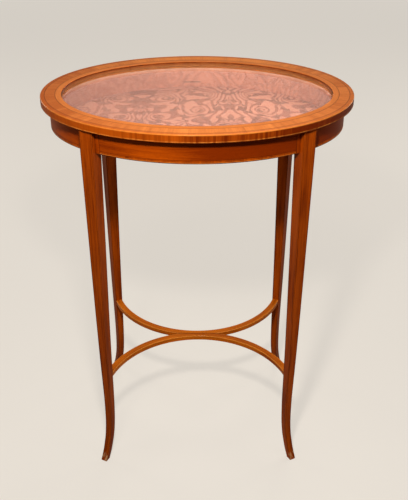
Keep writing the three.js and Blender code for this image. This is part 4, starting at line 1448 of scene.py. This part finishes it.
# How high the pad's cover lies over its foot, at distances in from its rim
PAD_INSETS = [0, 0.3 * MM, 1 * MM, 2.5 * MM, 7 * MM, 50 * MM, 120 * MM]
PAD_RISES = [0.2 * MM, 0.9 * MM, 1.3 * MM, 1.6 * MM, 1.8 * MM, 2.0 * MM, 2.1 * MM]
# Cells of the coarse cover that is simulated, and the cloth's settings
CLOTH_COLUMNS, CLOTH_LINES = 72, 50
CLOTH_FRAMES, CLOTH_PRESSURE, CLOTH_SHRINK = 20, 4, -0.006
# Thickness of the silk and card round the wall, how the silk folds over its top, and the rows down its face
WALL_THICKNESS = 1.6 * MM
WALL_FOLD, WALL_BEND = 0.6 * MM, 0.18 * MM
WALL_ROWS = 26


def make_wall_silk():
    table = table_settings()
    outer = table.oval.half_length - wall_high.x
    inner = outer + WALL_THICKNESS
    low, high = wall_low.z, wall_high.z
    round_length = oval_round(inner)
    rings = [
        (outer, low), (outer, (low + high) / 2), (outer, high - WALL_FOLD),
        (outer + WALL_BEND, high - WALL_BEND), (outer + WALL_FOLD, high),
        (inner - WALL_FOLD, high), (inner - WALL_BEND, high - WALL_BEND),
    ]
    rings += [(inner, height) for height in np.linspace(high - WALL_FOLD, low, WALL_ROWS)]
    mesh = oval_loft("wall_silk", rings, int(round_length / table.silk.pitch), is_loop=True)
    face_outwards(mesh)
    put_attribute(mesh, "place", oval_places(points_of(mesh), math.pi / 2))
    thing = link_mesh("wall_silk", mesh)
    keep(thing, "stand", silk_damask("wall_damask", on_wall=True), ["wall_lining"])


def pad_form(columns, lines):
    """A grid laid over the pad: X, Y, distance in from the rim, and height over the foot before it swells"""
    u, v = np.meshgrid(np.linspace(-1, 1, columns + 1), np.linspace(-1, 1, lines + 1))
    x = (u * np.sqrt(1 - v * v / 2)).ravel()
    y = (v * np.sqrt(1 - u * u / 2)).ravel()
    radius = np.hypot(x, y)
    edge_x, edge_y = oval_point(np.arctan2(y, x), table_settings().oval.half_length - pad_high.x)
    inset = np.maximum(1 - radius, 0) * pad_high.y
    return edge_x * radius, edge_y * radius, inset, np.interp(inset, PAD_INSETS, PAD_RISES)


def grid_rim(columns, lines):
    """The points round a grid's edge, in order"""
    wide = columns + 1
    rim = list(range(wide))
    rim += [j * wide + columns for j in range(1, lines + 1)]
    rim += [lines * wide + i for i in range(columns - 1, -1, -1)]
    return rim + [j * wide for j in range(lines - 1, 0, -1)]


def closed_pad(name, top, columns, lines):
    """The cover with a flat foot under it, as one closed mesh whose last points are the foot's"""
    low = top.copy()
    low[:, 2] = pad_low.z
    count, wide = len(top), columns + 1
    starts = [j * wide + i for j in range(lines) for i in range(columns)]
    over = [(at, at + 1, at + wide + 1, at + wide) for at in starts]
    under = [tuple(point + count for point in reversed(face)) for face in over]
    rim = grid_rim(columns, lines)
    sides = [(a + count, b + count, b, a) for a, b in zip(rim, rim[1:] + rim[:1])]
    return mesh_of(name, np.concatenate([top, low]), over + under + sides)


def swelling(columns, lines):
    """How far wadding lifts a coarse copy of the cover, as a grid of heights, by cloth simulation"""
    x, y, _, rise = pad_form(columns, lines)
    top = np.column_stack([x, y, pad_low.z + rise])
    thing = link_mesh("swelling", closed_pad("swelling", top, columns, lines))
    held = thing.vertex_groups.new(name="held")
    held.add(grid_rim(columns, lines) + list(range(len(top), 2 * len(top))), 1.0, "REPLACE")
    modifier = thing.modifiers.new("swell", "CLOTH")
    modifier.settings.vertex_group_mass = held.name
    modifier.settings.use_pressure = True
    modifier.settings.uniform_pressure_force = CLOTH_PRESSURE
    modifier.settings.shrink_min = CLOTH_SHRINK
    modifier.settings.effector_weights.gravity = 0
    modifier.point_cache.frame_end = CLOTH_FRAMES
    for number in range(1, CLOTH_FRAMES + 1):
        bpy.context.scene.frame_set(number)
    settle(thing)
    lift = np.maximum(points_of(thing.data)[:len(top), 2] - top[:, 2], 0)
    bpy.data.objects.remove(thing)
    bpy.context.scene.frame_set(1)
    lift *= min(1, table_settings().silk.swell / max(lift.max(), 1e-9))
    return lift.reshape(lines + 1, columns + 1)


def make_base_silk():
    silk = table_settings().silk
    columns = int(2 * pad_high.x / silk.pitch)
    lines = int(2 * pad_high.y / silk.pitch)
    x, y, inset, rise = pad_form(columns, lines)
    lift = swelling(CLOTH_COLUMNS, CLOTH_LINES)
    rise = rise + smooth_line(smooth_line(lift, lines + 1).T, columns + 1).T.ravel()
    top = np.column_stack([x, y, pad_low.z + rise])
    mesh = closed_pad("base_silk", top, columns, lines)
    put_attribute(mesh, "from_rim", np.concatenate([inset, np.zeros_like(inset)]))
    face_outwards(mesh)
    thing = link_mesh("base_silk", mesh)
    keep(thing, "stand", silk_damask("base_damask", on_wall=False), ["base_pad"])


# Board, brass and tongues

# In a copy of a node's mesh, faces as flat to each other as this are joined, and sharper edges are softened
FLAT_ANGLE = math.radians(1)
SOFTENED_ANGLE = math.radians(40)
# A hinge's parts, the bodies that they ride on, and how far their edges are softened
HINGE_PARTS = (("case_leaf", "stand", 0.15 * MM), ("pin", "stand", 0.2 * MM), ("lid_leaf", "lid", 0.15 * MM))
# Head radius, head depth, shank radius and length, and the width and depth of the slot
HINGE_SCREW = (2.3 * MM, 1.3 * MM, 1.15 * MM, 10 * MM)
HOOP_SCREW = (2.7 * MM, 1.5 * MM, 1.35 * MM, 17 * MM)
BOARD_SCREW = (3.2 * MM, 1.8 * MM, 1.6 * MM, 16 * MM)
SCREW_SLOT = 0.6 * MM


def dressed_copy(node, name, body, material, bevel):
    """A copy of a node's mesh with its edges softened, which stands for the node"""
    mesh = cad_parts[node].data.copy()
    work = bmesh.new()
    work.from_mesh(mesh)
    bmesh.ops.remove_doubles(work, verts=work.verts, dist=NODE_MERGE)
    bmesh.ops.dissolve_limit(work, angle_limit=FLAT_ANGLE, verts=work.verts, edges=work.edges)
    work.to_mesh(mesh)
    work.free()
    thing = link_mesh(name, mesh)
    modifier = thing.modifiers.new("soften", "BEVEL")
    modifier.width = bevel
    modifier.segments = 2
    modifier.limit_method = "ANGLE"
    modifier.angle_limit = SOFTENED_ANGLE
    settle(thing)
    keep(thing, body, material, [node])


def make_bottom_board():
    wood = shared_material("plain_wood", plain_wood)
    dressed_copy("bottom_board", "case_bottom", "stand", wood, 0.3 * MM)


def make_hinges():
    brass = shared_material("aged_brass", aged_brass)
    for side in ("left", "right"):
        for part, body, bevel in HINGE_PARTS:
            dressed_copy(f"{side}_hinge_{part}", f"{side}_butt_{part}", body, brass, bevel)


def screw_group(name, body, nodes, facing, sizes):
    """One mesh for a group of like screws, each where the frame has it"""
    brass = shared_material("aged_brass", aged_brass)
    heads = []
    for node in nodes:
        low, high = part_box(node)
        at_end = {-1: low, 0: (low + high) / 2, 1: high}
        heads.append([at_end[way][axis] for axis, way in enumerate(facing)])
    mesh = mesh_of(name, heads, [])
    put_attribute(mesh, "facing", np.tile(np.array(facing, float), (len(heads), 1)))
    thing = link_mesh(name, mesh)
    head, head_depth, shank, length = sizes
    run_tree(thing, "Countersunk Screws", screw_tree, {
        "Head Radius": head, "Head Depth": head_depth, "Shank Radius": shank, "Length": length,
        "Slot Width": SCREW_SLOT, "Slot Depth": SCREW_SLOT, "Finish": brass,
    })
    keep(thing, body, brass, nodes)


def make_screws():
    case_leaf = [f"{side}_hinge_case_screw_{i}" for side in ("left", "right") for i in (1, 2)]
    lid_leaf = [node.replace("case", "lid") for node in case_leaf]
    board = [f"board_screw_{side}_{i}" for side, _, _ in oval_stretches() for i in (1, 2)]
    up, down, back = (0, 0, 1), (0, 0, -1), (0, 1, 0)
    screw_group("case_hinge_screws", "stand", case_leaf, up, HINGE_SCREW)
    screw_group("lid_hinge_screws", "lid", lid_leaf, down, HINGE_SCREW)
    screw_group("hoop_screws", "stand", ["stretcher_screw_1", "stretcher_screw_2"], back, HOOP_SCREW)
    screw_group("board_screws", "stand", board, down, BOARD_SCREW)


def dress_tongues():
    """The loose tongues inside the lid's joints keep their shape and get a finish"""
    material = shared_material("plain_wood", plain_wood)
    for name, _, _ in oval_stretches():
        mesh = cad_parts[f"lid_tongue_{name}"].data
        mesh.materials.clear()
        mesh.materials.append(material)


# Stage

FLOOR_REACH = 30.0
WARM, COOL = (1.0, 0.95, 0.88), (0.97, 0.98, 1.0)
# Each lamp's name, place, target and width, the setting that gives its power, its colour,
# and the cone of a spot in degrees
LAMPS = (
    ("key_lamp", (-0.06, -0.8, 1.3), (0, 0, 0.65), 0.09, "key", WARM, None),
    ("front_lamp", (-0.4, -1.7, 2.5), (0, 0, 0.4), 0.4, "fill", WARM, None),
    ("left_lamp", (-1.6, -0.6, 2.2), (0, 0, 0.5), 1.0, "side", WARM, None),
    ("right_lamp", (1.6, -0.6, 2.2), (0, 0, 0.5), 1.0, "side", COOL, None),
    ("back_lamp", (0.4, 1.6, 3.0), (0, 0, 0.7), 1.2, "back", WARM, None),
    ("left_rear_lamp", (-2.2, 1.7, 1.0), (0, 0, 0.5), 0.9, "low_back", WARM, None),
    ("right_rear_lamp", (2.2, 1.7, 1.0), (0, 0, 0.5), 0.9, "low_back", WARM, None),
    ("left_level_lamp", (-1.5, -0.35, 0.8), (-0.26, -0.03, 0.73), 0.3, "level", WARM, 14),
    ("right_level_lamp", (1.5, -0.35, 0.8), (0.26, -0.03, 0.73), 0.3, "level", WARM, 14),
    ("left_leg_lamp", (-1.2, -1.6, 0.4), (0, 0, 0.3), 0.3, "low", WARM, 22),
    ("right_leg_lamp", (1.2, -1.6, 0.4), (0, 0, 0.3), 0.3, "low", WARM, 22),
)


def seen_share(make):
    """1 for what the camera sees, also through glass, and less for what glass and polish mirror"""
    path = make.add("ShaderNodeLightPath").outputs
    mirrored = make.times(path["Is Glossy Ray"], table_settings().stage.mirrored)
    seen = make.math("MAXIMUM", path["Is Camera Ray"], mirrored)
    return make.math("MAXIMUM", seen, path["Is Transmission Ray"])


def make_floor():
    """A pale floor that takes shadows, and grows as pale as the backdrop far away"""
    stage = table_settings().stage
    material, make, shader = new_material("pale_floor")
    spot = make.object_place()
    colour = make.mix(make.times(make.noise(spot, 3.0, 3), 0.06), stage.floor, (1.0, 1.0, 1.0))
    to_camera = make.add("ShaderNodeLightPath").outputs["Is Camera Ray"]
    colour = make.mix(to_camera, colour, stage.backdrop)
    set_finish(make, shader, Base_Color=colour, Roughness=0.9, Specular_IOR_Level=0.1)
    pale = make.add("ShaderNodeEmission", {"Color": stage.backdrop, "Strength": 1.0}).outputs[0]
    inputs = {
        "Value": make.length(spot), "From Min": stage.near, "From Max": stage.far,
        "To Min": stage.paleness, "To Max": 1.0,
    }
    paleness = make.add("ShaderNodeMapRange", inputs, interpolation_type="SMOOTHSTEP").outputs["Result"]
    show_mix(make, make.times(seen_share(make), paleness), shader.outputs["BSDF"], pale)
    reach = FLOOR_REACH
    corners = [(-reach, -reach, 0), (reach, -reach, 0), (reach, reach, 0), (-reach, reach, 0)]
    floor = link_mesh("floor", mesh_of("floor", corners, [(0, 1, 2, 3)]))
    floor.data.materials.append(material)


def make_sky():
    stage = table_settings().stage
    world = bpy.data.worlds.new("soft_sky")
    bpy.context.scene.world = world
    world.use_nodes = True
    make = NodeMaker(world.node_tree)
    world.node_tree.nodes.clear()
    even = make.add("ShaderNodeBackground", {"Color": (1.0, 0.98, 0.95), "Strength": stage.sky}).outputs[0]
    pale = make.add("ShaderNodeBackground", {"Color": stage.backdrop, "Strength": 1.0}).outputs[0]
    both = make.add("ShaderNodeMixShader", {0: seen_share(make), 1: even, 2: pale}).outputs[0]
    make.add("ShaderNodeOutputWorld", {"Surface": both})


def make_lamp(name, place, target, width, power, colour, cone):
    """A round area lamp, or a spot where a cone is given in degrees"""
    lamp = bpy.data.lights.new(name, "SPOT" if cone else "AREA")
    if cone:
        lamp.shadow_soft_size = width / 2
        lamp.spot_size = math.radians(cone)
        lamp.spot_blend = 0.6
    else:
        lamp.shape = "DISK"
        lamp.size = width
    lamp.energy = power
    lamp.color = colour
    thing = bpy.data.objects.new(name, lamp)
    bpy.context.scene.collection.objects.link(thing)
    thing.location = place
    thing.rotation_euler = (Vector(target) - Vector(place)).to_track_quat("-Z", "Y").to_euler()


def make_camera():
    """The camera that saw the table: its place, and how it is turned"""
    stage = table_settings().stage
    down, aside, roll = stage.down, stage.aside, stage.roll
    ahead = Vector((math.sin(aside) * math.cos(down), math.cos(aside) * math.cos(down), -math.sin(down)))
    right = Vector((math.cos(aside), -math.sin(aside), 0))
    up = right.cross(ahead)
    turned_right = right * math.cos(roll) + up * math.sin(roll)
    turned_up = up * math.cos(roll) - right * math.sin(roll)
    camera = bpy.data.cameras.new("viewpoint")
    camera.lens = stage.lens
    camera.sensor_width = 36
    thing = bpy.data.objects.new("viewpoint", camera)
    bpy.context.scene.collection.objects.link(thing)
    turn = Matrix((turned_right, turned_up, -ahead)).transposed().to_4x4()
    thing.matrix_world = Matrix.Translation(stage.viewpoint) @ turn
    bpy.context.scene.camera = thing


def make_stage():
    stage = table_settings().stage
    bpy.context.scene.view_settings.view_transform = "Standard"
    make_floor()
    make_sky()
    for name, place, target, width, setting, colour, cone in LAMPS:
        power = getattr(stage, setting)
        if cone and place[0] < 0:
            power *= stage.left_share
        make_lamp(name, place, target, width, power, colour, cone)
    make_camera()


# Operators and panel

class DISPLAY_TABLE_OT_stage(bpy.types.Operator):
    """Makes the floor, the lights and the camera"""

    bl_idname = "display_table.stage"
    bl_label = "Stage"
    bl_options = {"REGISTER", "UNDO"}

    def execute(self, context):
        make_stage()
        return {"FINISHED"}


class DISPLAY_TABLE_OT_legs(bpy.types.Operator):
    """Makes the four tapered legs with their outswept feet"""

    bl_idname = "display_table.legs"
    bl_label = "Legs"
    bl_options = {"REGISTER", "UNDO"}

    def execute(self, context):
        make_legs()
        return {"FINISHED"}


class DISPLAY_TABLE_OT_rails(bpy.types.Operator):
    """Makes the four rails round the case"""

    bl_idname = "display_table.rails"
    bl_label = "Frieze Rails"
    bl_options = {"REGISTER", "UNDO"}

    def execute(self, context):
        make_rails()
        return {"FINISHED"}


class DISPLAY_TABLE_OT_stretchers(bpy.types.Operator):
    """Makes the two hooped stretchers"""

    bl_idname = "display_table.stretchers"
    bl_label = "Stretchers"
    bl_options = {"REGISTER", "UNDO"}

    def execute(self, context):
        make_stretchers()
        return {"FINISHED"}


class DISPLAY_TABLE_OT_bottom_board(bpy.types.Operator):
    """Makes the board under the case"""

    bl_idname = "display_table.bottom_board"
    bl_label = "Bottom Board"
    bl_options = {"REGISTER", "UNDO"}

    def execute(self, context):
        make_bottom_board()
        return {"FINISHED"}


class DISPLAY_TABLE_OT_wall_silk(bpy.types.Operator):
    """Makes the silk round the wall of the case"""

    bl_idname = "display_table.wall_silk"
    bl_label = "Wall Silk"
    bl_options = {"REGISTER", "UNDO"}

    def execute(self, context):
        make_wall_silk()
        return {"FINISHED"}


class DISPLAY_TABLE_OT_base_silk(bpy.types.Operator):
    """Makes the silk pad on the base of the case"""

    bl_idname = "display_table.base_silk"
    bl_label = "Base Silk"
    bl_options = {"REGISTER", "UNDO"}

    def execute(self, context):
        make_base_silk()
        return {"FINISHED"}


class DISPLAY_TABLE_OT_lid_frame(bpy.types.Operator):
    """Makes the four parts of the lid's banded frame"""

    bl_idname = "display_table.lid_frame"
    bl_label = "Lid Frame"
    bl_options = {"REGISTER", "UNDO"}

    def execute(self, context):
        make_lid_frame()
        return {"FINISHED"}


class DISPLAY_TABLE_OT_glazing_beads(bpy.types.Operator):
    """Makes the beads that hold the glass"""

    bl_idname = "display_table.glazing_beads"
    bl_label = "Glazing Beads"
    bl_options = {"REGISTER", "UNDO"}

    def execute(self, context):
        make_glazing_beads()
        return {"FINISHED"}


class DISPLAY_TABLE_OT_glass(bpy.types.Operator):
    """Makes the oval pane"""

    bl_idname = "display_table.glass"
    bl_label = "Glass"
    bl_options = {"REGISTER", "UNDO"}

    def execute(self, context):
        make_glass()
        return {"FINISHED"}


class DISPLAY_TABLE_OT_hinges(bpy.types.Operator):
    """Makes the leaves and pins of the two hinges"""

    bl_idname = "display_table.hinges"
    bl_label = "Hinges"
    bl_options = {"REGISTER", "UNDO"}

    def execute(self, context):
        make_hinges()
        return {"FINISHED"}


class DISPLAY_TABLE_OT_screws(bpy.types.Operator):
    """Makes the screws of the hinges, the stretchers and the board"""

    bl_idname = "display_table.screws"
    bl_label = "Screws"
    bl_options = {"REGISTER", "UNDO"}

    def execute(self, context):
        make_screws()
        return {"FINISHED"}


class DISPLAY_TABLE_OT_tongues(bpy.types.Operator):
    """Gives the tongues in the lid's joints their finish"""

    bl_idname = "display_table.tongues"
    bl_label = "Lid Tongues"
    bl_options = {"REGISTER", "UNDO"}

    def execute(self, context):
        dress_tongues()
        return {"FINISHED"}


OPERATORS = (
    DISPLAY_TABLE_OT_stage, DISPLAY_TABLE_OT_legs, DISPLAY_TABLE_OT_rails, DISPLAY_TABLE_OT_stretchers,
    DISPLAY_TABLE_OT_bottom_board, DISPLAY_TABLE_OT_wall_silk, DISPLAY_TABLE_OT_base_silk,
    DISPLAY_TABLE_OT_lid_frame, DISPLAY_TABLE_OT_glazing_beads, DISPLAY_TABLE_OT_glass,
    DISPLAY_TABLE_OT_hinges, DISPLAY_TABLE_OT_screws, DISPLAY_TABLE_OT_tongues,
)
GROUPS = (
    OvalSizes, LidSizes, RailSizes, LegSizes, StretcherSizes, SilkSizes,
    WoodColours, SilkColours, MetalColours, StageSettings, DisplayTable,
)


class VIEW3D_PT_display_table(bpy.types.Panel):
    """Lists the table's sizes, colours and steps"""

    bl_label = "Display Table"
    bl_space_type = "VIEW_3D"
    bl_region_type = "UI"
    bl_category = "Display Table"

    def draw(self, context):
        table = context.scene.display_table
        for group_name, entry in table.bl_rna.properties.items():
            group = getattr(table, group_name)
            if not isinstance(group, bpy.types.PropertyGroup):
                continue
            box = self.layout.box()
            box.label(text=entry.name)
            for field in group.bl_rna.properties.keys():
                if field not in ("rna_type", "name"):
                    box.prop(group, field)
        for step in OPERATORS:
            self.layout.operator(step.bl_idname)


def register():
    for item in (*GROUPS, *OPERATORS, VIEW3D_PT_display_table):
        bpy.utils.register_class(item)
    bpy.types.Scene.display_table = group_field(DisplayTable, "Display Table")


def unregister():
    del bpy.types.Scene.display_table
    for item in reversed((*GROUPS, *OPERATORS, VIEW3D_PT_display_table)):
        bpy.utils.unregister_class(item)


def main():
    register()
    for step in OPERATORS:
        name = step.bl_idname.split(".")[1]
        getattr(bpy.ops.display_table, name)()
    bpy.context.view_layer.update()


if __name__ == "__main__":
    main()
